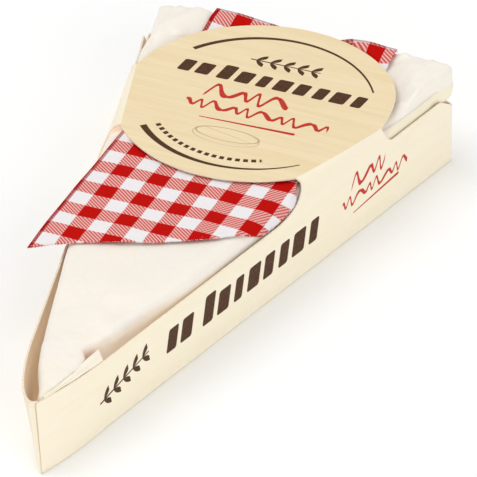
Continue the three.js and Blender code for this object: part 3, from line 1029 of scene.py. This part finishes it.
def cloth_front():
    """The slanting front edge, as a smooth line through its named points."""
    stops = np.array([CLOTH_FRONT[0], *CLOTH_FRONT, CLOTH_FRONT[-1]])
    line = []
    for before, start, end, after in zip(stops, stops[1:], stops[2:], stops[3:]):
        for t in np.linspace(0, 1, 12, endpoint=False):
            line.append(0.5 * (2 * start + (end - before) * t + (2 * before - 5 * start + 4 * end - after)
                               * t ** 2 + (3 * start - before - 3 * end + after) * t ** 3))
    return np.array([*line, stops[-1]])


def cloth_left(y):
    """Place of the cloth's left edge."""
    return -mix(CLOTH_LEFT, CLOTH_LEFT - 0.8, smooth(80, 150, y))


def cloth_right(y):
    """Place of the cloth's right edge. In front of the neck it falls down to the wall's edge."""
    return min(stepped(y, *CLOTH_RIGHT), y * SPREAD - CARD_EDGE - 0.15)


def cloth_row(y):
    """Points of one row across the cloth, evenly spaced along its bent section, and their run."""
    fine = np.linspace(cloth_left(y), cloth_right(y), 400)
    height = cloth_height(fine, np.full_like(fine, y))
    run = np.append(0, np.cumsum(np.hypot(np.diff(fine), np.diff(height))))
    wanted = np.linspace(0, run[-1], CLOTH_ACROSS + 1)
    return np.interp(wanted, run, fine), wanted


def rim_heights(ys):
    """Heights of the right wall's edge at places along it."""
    meets = neck_ends()
    return np.array([top_edge(RIGHT, y, meets) for y in ys])


def cloth_grid():
    """Places of the cloth's lower face, and where they lie when the cloth is spread out flat."""
    front = cloth_front()
    share = np.arange(CLOTH_ACROSS + 1) / CLOTH_ACROSS
    start_x = mix(CLOTH_FRONT[0][0], CLOTH_FRONT[-1][0], share)
    start_y = np.interp(start_x, front[:, 0], front[:, 1])
    y = np.linspace(start_y, CLOTH_BACK, CLOTH_ALONG + 1)
    rows = np.array([cloth_row(at) for at in np.arange(y.min(), CLOTH_BACK + ROW_STEP, ROW_STEP)])
    nearest = np.round((y - y.min()) / ROW_STEP).astype(int)
    x, run = (rows[nearest, part, np.arange(CLOTH_ACROSS + 1)] for part in (0, 1))
    flat = np.stack([run + cloth_left(y), y], axis=-1)

    droop = 0.5 * (1 - smooth(0, 16, np.hypot(x - CLOTH_FRONT[0][0], y - CLOTH_FRONT[0][1])))
    free = 1 - smooth(112, 122, y)
    wave = (np.sin(x * 0.33 + y * 0.11) * 0.12 + np.sin(y * 0.29 - x * 0.12) * 0.1 + 0.08) * free
    height = cloth_height(x, y)
    at_rim = np.minimum(rim_heights(y[:, -1])[:, None] + 0.25, crown(x, y) + CLOTH_GAP)
    height = np.where((y < 124) & (x > OVER_RIM_FROM), np.maximum(height, at_rim), height)
    disc_back = DISC_CENTRE[1] + np.sqrt(DISC_RADIUS ** 2 - (x - DISC_CENTRE[0]) ** 2)
    flare = smooth(0.2, 1.6, y - disc_back) * smooth(178, 181, y)
    lift = np.where(x > 0, 1.35 * smooth(5, 9, x) * (1 - 0.75 * smooth(15, 22, x)), 0.35)
    z = height + flare * lift - droop + np.maximum(wave, -0.08)
    return np.stack([x, y, z], axis=-1), flat


def build_cloth(name, material):
    """The cloth with its rounded edge. Its weave map follows the plan, in hundreds of millimetres."""
    lower = cloth_grid()[0].reshape(-1, 3)
    count = len(lower)
    loop = border(CLOTH_ACROSS, CLOTH_ALONG)
    outward = lower[loop, :2] - lower[:, :2].mean(axis=0)
    outward *= EDGE_SWELL / np.linalg.norm(outward, axis=1)[:, None]
    swollen = lower[loop] + np.column_stack([outward, np.full(len(loop), CLOTH_THICKNESS / 2)])
    faces = sheet_faces(CLOTH_ACROSS, CLOTH_ALONG)
    ring = list(range(2 * count, 2 * count + len(loop)))
    for a in range(len(loop)):
        b = (a + 1) % len(loop)
        faces.append((loop[a], loop[b], ring[b], ring[a]))
        faces.append((ring[a], ring[b], count + loop[b], count + loop[a]))
    points = np.vstack([lower, lower + (0, 0, CLOTH_THICKNESS), swollen])
    x, y, z = lower.T
    drop = np.where(x > 19, np.maximum(crown(x, y) + CLOTH_GAP - z, 0), 0.0)
    weave = lower[:, :2] + np.column_stack([0.45 * drop, -0.8 * drop])
    coords = np.vstack([weave, weave, weave[loop]])
    piece = mesh_object(name, points, faces, [material])
    layer = piece.data.uv_layers.new(name="weave")
    corners = np.zeros(len(piece.data.loops), np.int32)
    piece.data.loops.foreach_get("vertex_index", corners)
    layer.data.foreach_set("uv", (coords[corners] / WEAVE_UNIT).ravel())
    return finish_mesh(piece, 70, merge=0.0005)


def flat_size(flat):
    """Width, length and area of the cloth when it is spread out, in metres."""
    edge = [*flat[0], *flat[1:, -1], *flat[-1, -2::-1], *flat[-2:0:-1, 0]]
    area = sum(ax * by - bx * ay for (ax, ay), (bx, by) in zip(edge, edge[1:] + edge[:1])) / 2
    corners = flat.reshape(-1, 2)
    size = (corners.max(axis=0) - corners.min(axis=0)) * MM
    return (float(size[0]), float(size[1])), float(abs(area)) * MM * MM


def thread_edge(name):
    """The cloth's cut edges as a line mesh that the loose threads stand on."""
    places, _ = cloth_grid()
    front = places[0]
    right = places[1:, -1]
    line = np.vstack([front[::2], right[::2]]) + (0, 0, CLOTH_THICKNESS * 0.6)
    over_rim = (line[:, 0] > OVER_RIM_FROM) & (line[:, 1] < 123.5)
    raised = np.maximum(line[:, 2], rim_heights(line[:, 1]) + 0.15)
    line[:, 2] = np.where(over_rim, raised, line[:, 2])
    return mesh_object(name, line, [], edges=[(i, i + 1) for i in range(len(line) - 1)])


def thread_tree(material):
    """Geometry nodes that set short loose threads along an edge, each turned at random."""
    tree = bpy.data.node_groups.new("loose_threads", "GeometryNodeTree")
    sockets = (("INPUT", "Geometry", "Geometry"), ("INPUT", "Spacing", "Float"),
               ("INPUT", "Thread length", "Float"), ("INPUT", "Thread radius", "Float"),
               ("INPUT", "Seed", "Int"), ("OUTPUT", "Geometry", "Geometry"))
    for way, label, kind in sockets:
        tree.interface.new_socket(label, in_out=way, socket_type="NodeSocket" + kind)

    def made(kind, settings=None, inputs=None, output=0):
        return Value(tree, add_node(tree, kind, settings, inputs).outputs[output])

    given = add_node(tree, "NodeGroupInput")
    line, spacing, length, radius, seed = (Value(tree, socket) for socket in given.outputs[:5])
    curve = made("GeometryNodeMeshToCurve", None, {"Mesh": line})
    spots = made("GeometryNodeResampleCurve", {"mode": "LENGTH"}, {"Curve": curve, "Length": spacing})
    thread = made("GeometryNodeMeshCylinder", None, {
        "Vertices": 5, "Side Segments": 2, "Radius": radius, "Depth": length})
    turn = made("FunctionNodeRandomValue", {"data_type": "FLOAT_VECTOR"}, {
        0: THREAD_TURN_LEAST, 1: THREAD_TURN_MOST, "Seed": seed})
    size = made("FunctionNodeRandomValue", {"data_type": "FLOAT"}, {
        2: THREAD_SIZE_LEAST, 3: THREAD_SIZE_MOST, "Seed": seed}, 1)
    threads = made("GeometryNodeInstanceOnPoints", None, {
        "Points": spots, "Instance": thread, "Rotation": turn, "Scale": size})
    real = made("GeometryNodeRealizeInstances", None, {0: threads})
    painted = made("GeometryNodeSetMaterial", None, {"Geometry": real, "Material": material})
    add_node(tree, "NodeGroupOutput", None, {"Geometry": painted})
    return tree


def build_threads(name, material, spacing, length, radius, seed):
    """The loose threads as one mesh."""
    piece = thread_edge(name)
    tree = thread_tree(material)
    maker = piece.modifiers.new("threads", "NODES")
    maker.node_group = tree
    given = {"Spacing": spacing * MM, "Thread length": length * MM, "Thread radius": radius * MM,
             "Seed": seed}
    for item in tree.interface.items_tree:
        if item.item_type == "SOCKET" and item.name in given:
            maker[item.identifier] = given[item.name]
    plain_mesh(piece)
    return finish_mesh(piece, 60, merge=0.00001)


# Materials

def wood_grain(finish, place, stretch, turn=0.0):
    """Pale printed wood: long soft streaks with finer fibres between them."""
    long_way = finish.scaled(place, stretch, (0, 0, turn))
    streaks = finish.noise(long_way, 1.0, 4, 0.6, 0.6)
    fine = finish.noise(long_way, 3.4, 3, 0.65, 0.2)
    return streaks, fine


def inked(finish, place, base, brown, red, looks, fuzz_scale):
    """The base with brown and red ink printed on it, a little worn."""
    wear = (finish.noise(place, fuzz_scale, 2, 0.5) * 3 - 0.6).clamp()
    printed = finish.blend(brown * (wear * 0.05 + 0.94), base, looks.print_brown)
    return finish.blend(red * (wear * 0.08 + 0.9), printed, looks.print_red)


def wall_print(u, z):
    """Brown and red print of a long wall. u runs along the wall, from left to right as it is seen."""
    slant = 0.2
    bars = bold_bars(u, z, low=66.5, bottom=7.8, pitch=5.65, count=2, height=6.2, slant=slant)
    bars = bars.max(bold_bars(u, z, low=80.5, bottom=7.6, pitch=5.9, count=8, height=6.2, slant=slant,
                              first=1.25))
    sprig = leaf_sprig(u, z, (42, 8.2), (60.5, 12.6), leaves=5, leaf_length=4.4, width=1.5)
    leaned = u - z * slant
    red = scribble(leaned, z, 137.5, 150.5, base=15.6, rise=1.5, wavelength=4.2, width=0.8)
    red = red.max(scribble(leaned, z, 134.5, 160.5, base=10.9, rise=1.0, wavelength=3.6, width=0.65))
    red = red.max(stroke(u, z, (141.2, 7.0), (158.8, 8.6), width_start=0.3, width_end=0.8))
    return bars.max(sprig), red


def card_outside(looks):
    """The printed side of the card. The left wall has the right wall's print."""
    finish = Finish("card_outside", 0.55, 0.1)
    place = finish.place()
    x, y, z = finish.split(place)
    streaks, fine = wood_grain(finish, place, (0.25, 0.045, 0.5))
    mottle = finish.noise(place, 0.05, 2, 0.5)
    base = finish.blend((streaks * 1.2 - 0.1).clamp(), looks.card_light, looks.card_cream)
    base = finish.blend((fine * 2.2 - 0.95).clamp() * 0.1, base, linear(226, 210, 168))
    base = finish.blend((mottle * 2.4 - 0.8).clamp() * 0.4, base, linear(248, 234, 214))
    on_right = x > 0
    brown, red = wall_print(y * (on_right * 2 - 1) + (1 - on_right) * PRINT_TURN, z)
    printed = inked(finish, place, base, brown, red, looks, 2.2)
    finish.colour(finish.blend(z < UNDERSIDE, printed, looks.card_cream))
    finish.roughness(fine * 0.12 + 0.42)
    fibre = finish.noise(place, 1.6, 3, 0.6)
    finish.bump(fibre * 0.5 + fine * 0.3 + brown * 0.15, 0.05, 0.35)
    return finish.material


def card_inside(looks):
    """Bare kraft side, with painted light: a warm painted glow low on the left wall near the nose, and a
    pale one at the left notch.
    """
    finish = Finish("card_inside", 0.8, 0.2)
    place = finish.place()
    cloud = finish.noise(place, 0.12, 3, 0.55)
    specks = finish.noise(place, 2.4, 2, 0.7)
    base = finish.blend((cloud * 1.8 - 0.4).clamp(), looks.kraft, linear(230, 206, 178))
    base = finish.blend((specks * 5 - 3.1).clamp() * 0.3, base, linear(170, 126, 84))
    x, y, z = finish.split(place)
    # Painted light: a warm glow that grows lower down the left wall near the nose, and a pale glow at the
    # left notch, lighten the shade there.
    near_nose = ((100 - y) / 25).clamp() * ((y - 22) / 20).clamp() * (x < CHEESE_TIP[0])
    painted_glow = finish.blend(near_nose * ((WALL_HEIGHT - z) / 4).clamp(), BLACK, (0.165, 0.13, 0.09))
    painted_light_at_notch = (x < -20) * (y > 114) * ((140 - y) / 5).clamp() * (z > 16)
    finish.painted_glow(finish.blend(painted_light_at_notch, painted_glow, (0.48, 0.45, 0.4)), 1.0)
    finish.colour(base)
    finish.roughness(cloud * 0.1 + 0.74)
    finish.bump(finish.noise(finish.scaled(place, (2.5, 0.8, 2.5)), 1.0, 3, 0.6), 0.08, 0.4)
    return finish.material


def card_edge(looks):
    """The cut edge of the card, with its layers of fibre."""
    finish = Finish("card_edge", 0.8, 0.2)
    fibre = finish.noise(finish.scaled(finish.place(), (1, 1, 6)), 1.2, 3, 0.6)
    finish.colour(finish.blend((fibre * 1.6 - 0.3).clamp(), looks.edge_light, looks.edge_dark))
    finish.roughness(fibre * 0.1 + 0.75)
    finish.bump(fibre, 0.06, 0.5)
    return finish.material


def dash_row(x, y):
    """Short dashes on a circle, along the front left of the disc."""
    radius, height, per_radian = 25.2, 1.24, 13.0
    middle_angle, half_angle = math.radians(-100), math.radians(36)
    off_x, off_y = x - DISC_CENTRE[0], y - DISC_CENTRE[1]
    angle = off_y.math("ARCTAN2", off_x)
    on_circle = abs((off_x * off_x + off_y * off_y).sqrt() - radius).within(height / 2, 0.12)
    in_dash = abs((angle * per_radian).fract() - 0.5).within(0.3, 0.03)
    return on_circle * in_dash * abs(angle - middle_angle).within(half_angle, 0.02)


def disc_marks(x, y):
    """Brown, red and thin oval print of the disc."""
    upper = arc_line(x, y, DISC_CENTRE, radius=28.0, middle_angle=math.radians(89),
                     half_angle=math.radians(57), width_start=0.45, width_end=1.25)
    lower = arc_line(x, y, DISC_CENTRE, radius=28.7, middle_angle=math.radians(268.5),
                     half_angle=math.radians(45.5), width_start=1.7, width_end=0.35)
    row = y - x * 0.03
    bars = bold_bars(x, row, low=-22.6, bottom=157.6, pitch=4.6, count=2, height=4.9, slant=0.1)
    bars = bars.max(bold_bars(x, row, low=-12.7, bottom=157.5, pitch=4.85, count=8, height=4.9, slant=0.1,
                              first=1.25))
    sprig = leaf_sprig(x, y, (-7.0, 167.9), (10.5, 168.6), leaves=5, leaf_length=3.9, width=1.25)
    red = scribble(x, row, -11.5, 9.5, base=152.2, rise=1.9, wavelength=4.9, width=1.0)
    red = red.max(scribble(x, row, -14.5, 22.0, base=145.9, rise=1.3, wavelength=4.0, width=0.85))
    red = red.max(stroke(x, row, (-8.5, 140.5), (15.0, 141.3), width_start=0.35, width_end=0.95))
    oval = oval_line(x, y, (0.8, 135.4), half_u=8.0, half_v=2.6, lean=0.02, width=0.16)
    oval = oval.max(oval_line(x, y, (0.8, 134.5), half_u=8.4, half_v=3.4, lean=0.02, width=0.14) * 0.6)
    oval = oval.max(stroke(x, y, (-6, 136.8), (7.6, 134.2), width_start=0.16, width_end=0.16) * 0.7)
    return upper.max(lower).max(bars).max(sprig).max(dash_row(x, y)), red, oval


def disc_print(looks):
    """The disc's printed face: wood with darker knots, and the print on it."""
    finish = Finish("disc_print", 0.55, 0.1)
    place = finish.place()
    x, y, _ = finish.split(place)
    streaks, fine = wood_grain(finish, place, (0.02, 0.36, 1.0), 0.05)
    knots = finish.noise(finish.scaled(place, (0.012, 0.11, 1)), 1.0, 2, 0.5, 1.4)
    base = finish.blend((streaks * 2.0 - 0.5).clamp(), looks.disc_tan, looks.disc_light)
    base = finish.blend((fine * 3.2 - 1.6).clamp() * 0.32, base, linear(214, 186, 138))
    base = finish.blend((knots * 3 - 1.5).clamp() * 0.25, base, linear(226, 204, 152))
    brown, red, oval = disc_marks(x, y)
    base = finish.blend(oval * 0.6, base, linear(120, 98, 58))
    finish.colour(inked(finish, place, base, brown, red, looks, 2.0))
    finish.roughness(fine * 0.14 + 0.38)
    finish.bump(streaks * 0.6 + fine * 0.5 + brown * 0.1, 0.05, 0.3)
    return finish.material


def waxed_paper(looks, name="waxed_paper", painted_cream_tint=0.0):
    """Warm white paper with fine folds, with painted light and shade: darker fold lines, a glow and a
    pink shade in the crevice by the right wall, a yellowish bounce and a dark crease line on the right
    flank, and a cream tint at the tip.
    """
    finish = Finish(name, 0.42, 0.4)
    place = finish.place()
    cloud = finish.noise(place, 0.09, 3, 0.55)
    fine = finish.noise(place, 0.7, 4, 0.6, 0.4)
    folds = finish.node("ShaderNodeTexVoronoi", {"feature": "DISTANCE_TO_EDGE"},
                        {"Vector": finish.scaled(place, (0.16, 0.13, 0.16)), "Scale": 1.0})
    base = finish.blend((cloud * 2 - 0.5).clamp(), looks.paper, linear(246, 238, 224))
    base = finish.blend((fine * 2 - 0.9).clamp() * 0.25, base, linear(234, 230, 221))
    # Painted shade: the fold lines are a little darker.
    base = finish.blend(folds.within(0.02, 0.03) * 0.18, base, linear(232, 226, 212))
    warm = finish.noise(place, 0.05, 2, 0.5)
    base = finish.blend((warm * 3 - 1.4).clamp() * 0.3, base, linear(250, 236, 222))
    x, y, z = finish.split(place)
    # Painted bounce light: a yellowish tint low on the right flank by the heel, for the card's warm light
    # on the paper in shade.
    strip = (z < STRIP_CREASE - 0.1) * (y > 156) * (x > 26)
    base = finish.blend(strip * 0.75, base, linear(243, 234, 202))
    # Painted light and shade in the crevice by the right wall: a warm painted glow over it, and a pink
    # painted shade next to the flap.
    crevice_painted_light_and_shade = (x > 1) * ((95 - y) / 12).clamp() * ((y - 40) / 4).clamp() * ((20.6 - z) / 1.5).clamp()
    painted_shade_beside_flap = crevice_painted_light_and_shade * ((48.5 - y) / 3).clamp()
    base = finish.blend(painted_shade_beside_flap * (0.6 - painted_cream_tint), base, linear(222, 180, 166))
    finish.painted_glow(finish.blend(crevice_painted_light_and_shade, BLACK, (0.105, 0.08, 0.055)), 0.0 if painted_cream_tint else 1.0)
    # Painted shade: a dark line along the crease at the top of that strip.
    painted_crease_shade = abs(z - STRIP_CREASE + (fine - 0.5) * 0.5).within(0.1, 0.25)
    painted_crease_shade = painted_crease_shade * (y > 155) * (x > 26) * (177 - y).clamp()
    base = finish.blend(painted_crease_shade * 0.45, base, linear(186, 176, 146))
    # Painted bounce: a cream tint near the tip, where the paper lies down in the card's nose, and over
    # the whole of the flap's copy.
    painted_tint_at_tip = (1 - (y - 25) / 14).clamp() * (z > 14)
    base = finish.blend(painted_tint_at_tip * 0.4 + painted_cream_tint, base, linear(248, 240, 214))
    finish.colour(base)
    finish.roughness(cloud * 0.2 + 0.34)
    finish.bump(fine * 0.7 + folds.min(0.12) * 3.0, 0.16, 0.5)
    return finish.material


def checks(place_in_pair, ragged):
    """1 on the coloured half of each pair of checks, with a slightly ragged edge."""
    return abs(abs(place_in_pair - 0.5) - 0.5 + ragged).within(0.25, 0.015)


def twill(u, v):
    """Fine slanting lines of the mixed squares, which turn to the other slant towards the right edge."""
    rising = ((u * 0.61 + v * 0.79) / 0.72).fract()
    falling = ((u * 0.81 - v * 0.59) / 0.83 + WHOLE_TURNS).fract()
    turned = ((u - 8) / 5).clamp() * (140 - v).clamp()
    return (abs(rising - 0.5).within(0.27, 0.3) * (1 - turned * 0.8)
            + abs(falling - 0.5).within(0.25, 0.3) * turned * 0.9).clamp()


def gingham(looks):
    """Woven checks: full, mixed and white squares. Behind the disc the weave is drawn out a little."""
    finish = Finish("gingham", 0.95, 0.05)
    coords = finish.node("ShaderNodeUVMap", {"uv_map": "weave"})
    u, v, _ = finish.split(finish.scaled(coords, (WEAVE_UNIT,) * 3))
    place = finish.join(u, v, 0.0)
    drift = finish.noise(place, 0.12, 2, 0.5) * 0.5 - 0.25
    behind = ((v - 135) / 30).clamp()
    pattern_u = u + behind * (u * 0.08 + 0.7) + drift
    pattern_v = v - behind * 2.45 + drift
    across = ((pattern_u + 16.3) / (looks.check_pitch * 2) + WHOLE_TURNS).fract()
    along = ((pattern_v - 112.7) / (looks.check_pitch * 2.035) + WHOLE_TURNS).fract()
    ragged = (finish.noise(finish.scaled(place, (3.0, 3.0, 1)), 1.0, 2, 0.6) - 0.5) * 0.03
    red_u = checks(across, ragged)
    red_v = checks(along, 0 - ragged)
    both = red_u * red_v
    either = (red_u + red_v - both * 2).clamp()
    hatch = twill(u, v)
    yarn = finish.noise(finish.scaled(place, (2.2, 2.2, 1)), 1.0, 3, 0.7)
    white = finish.blend(yarn, linear(242, 239, 239), linear(231, 226, 228))
    red = finish.blend((yarn * 2 - 0.5).clamp(), looks.gingham_red, linear(176, 12, 8))
    pink = finish.blend(hatch, linear(234, 190, 184), linear(203, 76, 68))
    colour = finish.blend(either, white, pink)
    colour = finish.blend(both, colour, red)
    hem = (v > CLOTH_BACK - 0.5) * 0.5
    colour = finish.blend(hem, colour, linear(96, 20, 20))
    left_edge = ((v - 80) / 70).clamp() * 0.8 - CLOTH_LEFT
    selvedge = (u < left_edge + SELVEDGE) * (yarn * 0.5 + 0.45)
    finish.colour(finish.blend(selvedge, colour, linear(150, 16, 20)))
    finish.roughness(yarn * 0.1 + 0.86)
    warp = abs((u / YARN_PITCH).fract() - 0.5)
    weft = abs((v / YARN_PITCH).fract() - 0.5)
    finish.bump(warp + weft + hatch * 0.6 + yarn * 0.8, 0.09, 0.5)
    return finish.material


def thread_cotton(looks):
    """Red and pale yarn ends."""
    finish = Finish("thread_cotton", 0.9, 0.15)
    place = finish.place()
    tone = finish.noise(place, 0.35, 1, 0.5)
    pick = (tone * 8 - 3.6).clamp()
    fluff = finish.noise(place, 3.0, 2, 0.6)
    base = finish.blend(pick, linear(236, 222, 222), looks.gingham_red)
    finish.colour(finish.blend(fluff * 0.3, base, linear(220, 150, 150)))
    finish.roughness(fluff * 0.1 + 0.85)
    finish.bump(fluff, 0.05, 0.5)
    return finish.material


def floor_white():
    """The plain pale table."""
    finish = Finish("floor_white", 0.9, 0.1)
    cloud = finish.noise(finish.place(), 0.002, 2)
    finish.colour(finish.blend(cloud, linear(254, 254, 254), linear(252, 252, 252)))
    return finish.material


# Settings

class BrieLooks(bpy.types.PropertyGroup):
    """Colours of the pack."""
    card_light: FloatVectorProperty(name="Card, light", description="Light tone of the card's print",
                                    subtype="COLOR", default=linear(249, 241, 221))
    card_cream: FloatVectorProperty(name="Card, cream", description="Cream tone of the card's print",
                                    subtype="COLOR", default=linear(243, 233, 204))
    kraft: FloatVectorProperty(name="Kraft", description="Bare inner face of the card",
                               subtype="COLOR", default=linear(238, 217, 192))
    edge_light: FloatVectorProperty(name="Cut edge, light", description="Pale fibre of the cut edge",
                                    subtype="COLOR", default=linear(250, 241, 226))
    edge_dark: FloatVectorProperty(name="Cut edge, dark", description="Darker fibre of the cut edge",
                                   subtype="COLOR", default=linear(226, 205, 172))
    disc_tan: FloatVectorProperty(name="Disc, tan", description="Darker tone of the wood print",
                                  subtype="COLOR", default=linear(233, 211, 168))
    disc_light: FloatVectorProperty(name="Disc, light", description="Lighter tone of the wood print",
                                    subtype="COLOR", default=linear(241, 224, 188))
    print_brown: FloatVectorProperty(name="Brown print", description="Dark brown ink",
                                     subtype="COLOR", default=linear(72, 38, 12))
    print_red: FloatVectorProperty(name="Red print", description="Red ink",
                                   subtype="COLOR", default=linear(190, 26, 12))
    paper: FloatVectorProperty(name="Paper", description="Warm white of the waxed paper",
                               subtype="COLOR", default=linear(241, 236, 227))
    gingham_red: FloatVectorProperty(name="Gingham red", description="Red yarn of the cloth",
                                     subtype="COLOR", default=linear(200, 16, 9))
    check_pitch: FloatProperty(name="Check", description="Side of one check in millimetres",
                               default=4.67, min=2, max=12)


class BrieSizes(bpy.types.PropertyGroup):
    """Sizes of the fine surfaces."""
    paper_voxel: FloatProperty(name="Paper grid", description="Grid of the paper's mesh in millimetres",
                               default=0.62, min=0.4, max=2)
    thread_spacing: FloatProperty(name="Thread spacing", description="Gap between threads in millimetres",
                                  default=0.34, min=0.1, max=3)
    thread_length: FloatProperty(name="Thread length", description="Longest loose thread in millimetres",
                                 default=1.3, min=0.2, max=4)
    thread_radius: FloatProperty(name="Thread radius", description="Radius of a thread in millimetres",
                                 default=0.06, min=0.02, max=0.5)
    seed: IntProperty(name="Seed", description="Seed of the loose threads", default=7)


class BrieView(bpy.types.PropertyGroup):
    """The camera, as worked out from the photograph."""
    azimuth: FloatProperty(name="Azimuth", description="Camera's angle round the pack",
                           subtype="ANGLE", default=math.radians(23.487))
    elevation: FloatProperty(name="Elevation", description="Camera's angle above the table",
                             subtype="ANGLE", default=math.radians(33.761))
    distance: FloatProperty(name="Distance", description="Camera to target", unit="LENGTH", default=3.926)
    lens: FloatProperty(name="Lens", description="Focal length in millimetres", default=1254.9)
    target: FloatVectorProperty(name="Target", description="Point in the middle of the picture",
                                subtype="TRANSLATION", default=(0.01386, 0.00864, 0.01292))


# Operators

def place_piece(piece, slot, *nodes):
    """Puts a finished piece on the root body and hides the nodes that it stands for. Its slot is not
    used.
    """
    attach(piece, "root")
    if nodes:
        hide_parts(*nodes)


class BRIE_OT_card(bpy.types.Operator):
    """Make the card tray with its necks and disc"""
    bl_idname = "brie.card"
    bl_label = "Card tray"

    def execute(self, context):
        looks = context.scene.brie_looks
        materials = [card_outside(looks), card_inside(looks), card_edge(looks), disc_print(looks)]
        piece = build_card("folded_card", materials)
        place_piece(piece, "card", "card_tray")
        return {"FINISHED"}


class BRIE_OT_paper(bpy.types.Operator):
    """Make the cheese in its crinkled paper and the folded flap near its tip"""
    bl_idname = "brie.paper"
    bl_label = "Wrapped cheese"

    def execute(self, context):
        looks, sizes = context.scene.brie_looks, context.scene.brie_sizes
        material = waxed_paper(looks)
        wrap = build_paper("paper_wrap", material, sizes.paper_voxel)
        place_piece(wrap, "waxed_paper", "wrapped_brie")
        # The flap's paper is a copy with a painted cream tint and no painted crevice glow.
        flap = build_flap("paper_flap", waxed_paper(looks, "folded_paper", 0.55))
        place_piece(flap, "waxed_paper")
        return {"FINISHED"}


class BRIE_OT_cloth(bpy.types.Operator):
    """Lay the gingham cloth over the paper, with loose threads along its cut edges"""
    bl_idname = "brie.cloth"
    bl_label = "Gingham cloth"

    def execute(self, context):
        looks, sizes = context.scene.brie_looks, context.scene.brie_sizes
        cloth = build_cloth("gingham_cloth", gingham(looks))
        place_piece(cloth, "gingham", "gingham_sheet")
        threads = build_threads("loose_threads", thread_cotton(looks), sizes.thread_spacing,
                                sizes.thread_length, sizes.thread_radius, sizes.seed)
        place_piece(threads, "gingham")
        size, area = flat_size(cloth_grid()[1])
        return {"FINISHED"}


class BRIE_OT_stage(bpy.types.Operator):
    """Make the pale floor, the soft lights and the camera"""
    bl_idname = "brie.stage"
    bl_label = "Stage"

    def execute(self, context):
        scene = context.scene
        self.add_floor(scene)
        self.add_lights(scene)
        scene.view_settings.view_transform = "Standard"
        self.add_camera(scene)
        return {"FINISHED"}

    @staticmethod
    def add_floor(scene):
        mesh = bpy.data.meshes.new("floor")
        corners = [(-FLOOR_REACH, -FLOOR_REACH, 0), (FLOOR_REACH, -FLOOR_REACH, 0),
                   (FLOOR_REACH, FLOOR_REACH, 0), (-FLOOR_REACH, FLOOR_REACH, 0)]
        mesh.from_pydata(corners, [], [(0, 1, 2, 3)])
        mesh.materials.append(floor_white())
        floor = bpy.data.objects.new("floor", mesh)
        scene.collection.objects.link(floor)

    @staticmethod
    def add_lights(scene):
        scene.world = bpy.data.worlds.new("studio")
        scene.world.use_nodes = True
        sky = scene.world.node_tree.nodes["Background"]
        sky.inputs["Color"].default_value = (1, 1, 1, 1)
        sky.inputs["Strength"].default_value = SKY_STRENGTH
        for name, (spot, power) in LIGHTS.items():
            data = bpy.data.lights.new(name, "AREA")
            data.size = LIGHT_SIZE
            data.energy = power
            lamp = bpy.data.objects.new(name, data)
            lamp.location = spot
            lamp.rotation_euler = Vector(spot).to_track_quat("Z", "Y").to_euler()
            scene.collection.objects.link(lamp)

    @staticmethod
    def add_camera(scene):
        view = scene.brie_view
        round_way, upward = view.azimuth, view.elevation
        level = math.cos(upward)
        back = Vector((math.sin(round_way) * level, -math.cos(round_way) * level, math.sin(upward)))
        right = Vector((math.cos(round_way), math.sin(round_way), 0))
        up = back.cross(right)
        data = bpy.data.cameras.new("camera")
        data.lens = view.lens
        data.sensor_width = SENSOR_WIDTH
        data.clip_end = FAR_CLIP
        camera = bpy.data.objects.new("camera", data)
        turn = Matrix((right, up, back)).transposed().to_4x4()
        camera.matrix_world = Matrix.Translation(Vector(view.target) + back * view.distance) @ turn
        scene.collection.objects.link(camera)
        scene.camera = camera


class BRIE_PT_panel(bpy.types.Panel):
    """Sizes, colours and the steps that make the pack"""
    bl_label = "Brie Wedge"
    bl_idname = "BRIE_PT_panel"
    bl_space_type = "VIEW_3D"
    bl_region_type = "UI"
    bl_category = "Brie Wedge"

    def draw(self, context):
        layout = self.layout
        for group in (context.scene.brie_looks, context.scene.brie_sizes, context.scene.brie_view):
            column = layout.column()
            for name in group.bl_rna.properties.keys():
                if name not in ("rna_type", "name"):
                    column.prop(group, name)
        for step in STEPS:
            layout.operator(step.bl_idname)


STEPS = (BRIE_OT_stage, BRIE_OT_card, BRIE_OT_paper, BRIE_OT_cloth)
GROUPS = {"brie_looks": BrieLooks, "brie_sizes": BrieSizes, "brie_view": BrieView}


def register():
    for item in (*GROUPS.values(), *STEPS, BRIE_PT_panel):
        bpy.utils.register_class(item)
    for name, group in GROUPS.items():
        setattr(bpy.types.Scene, name, PointerProperty(type=group))


def unregister():
    for name in GROUPS:
        delattr(bpy.types.Scene, name)
    for item in (BRIE_PT_panel, *STEPS[::-1], *GROUPS.values()):
        bpy.utils.unregister_class(item)


def main():
    register()
    bpy.ops.brie.stage()
    bpy.ops.brie.card()
    bpy.ops.brie.paper()
    bpy.ops.brie.cloth()


if __name__ == "__main__":
    main()
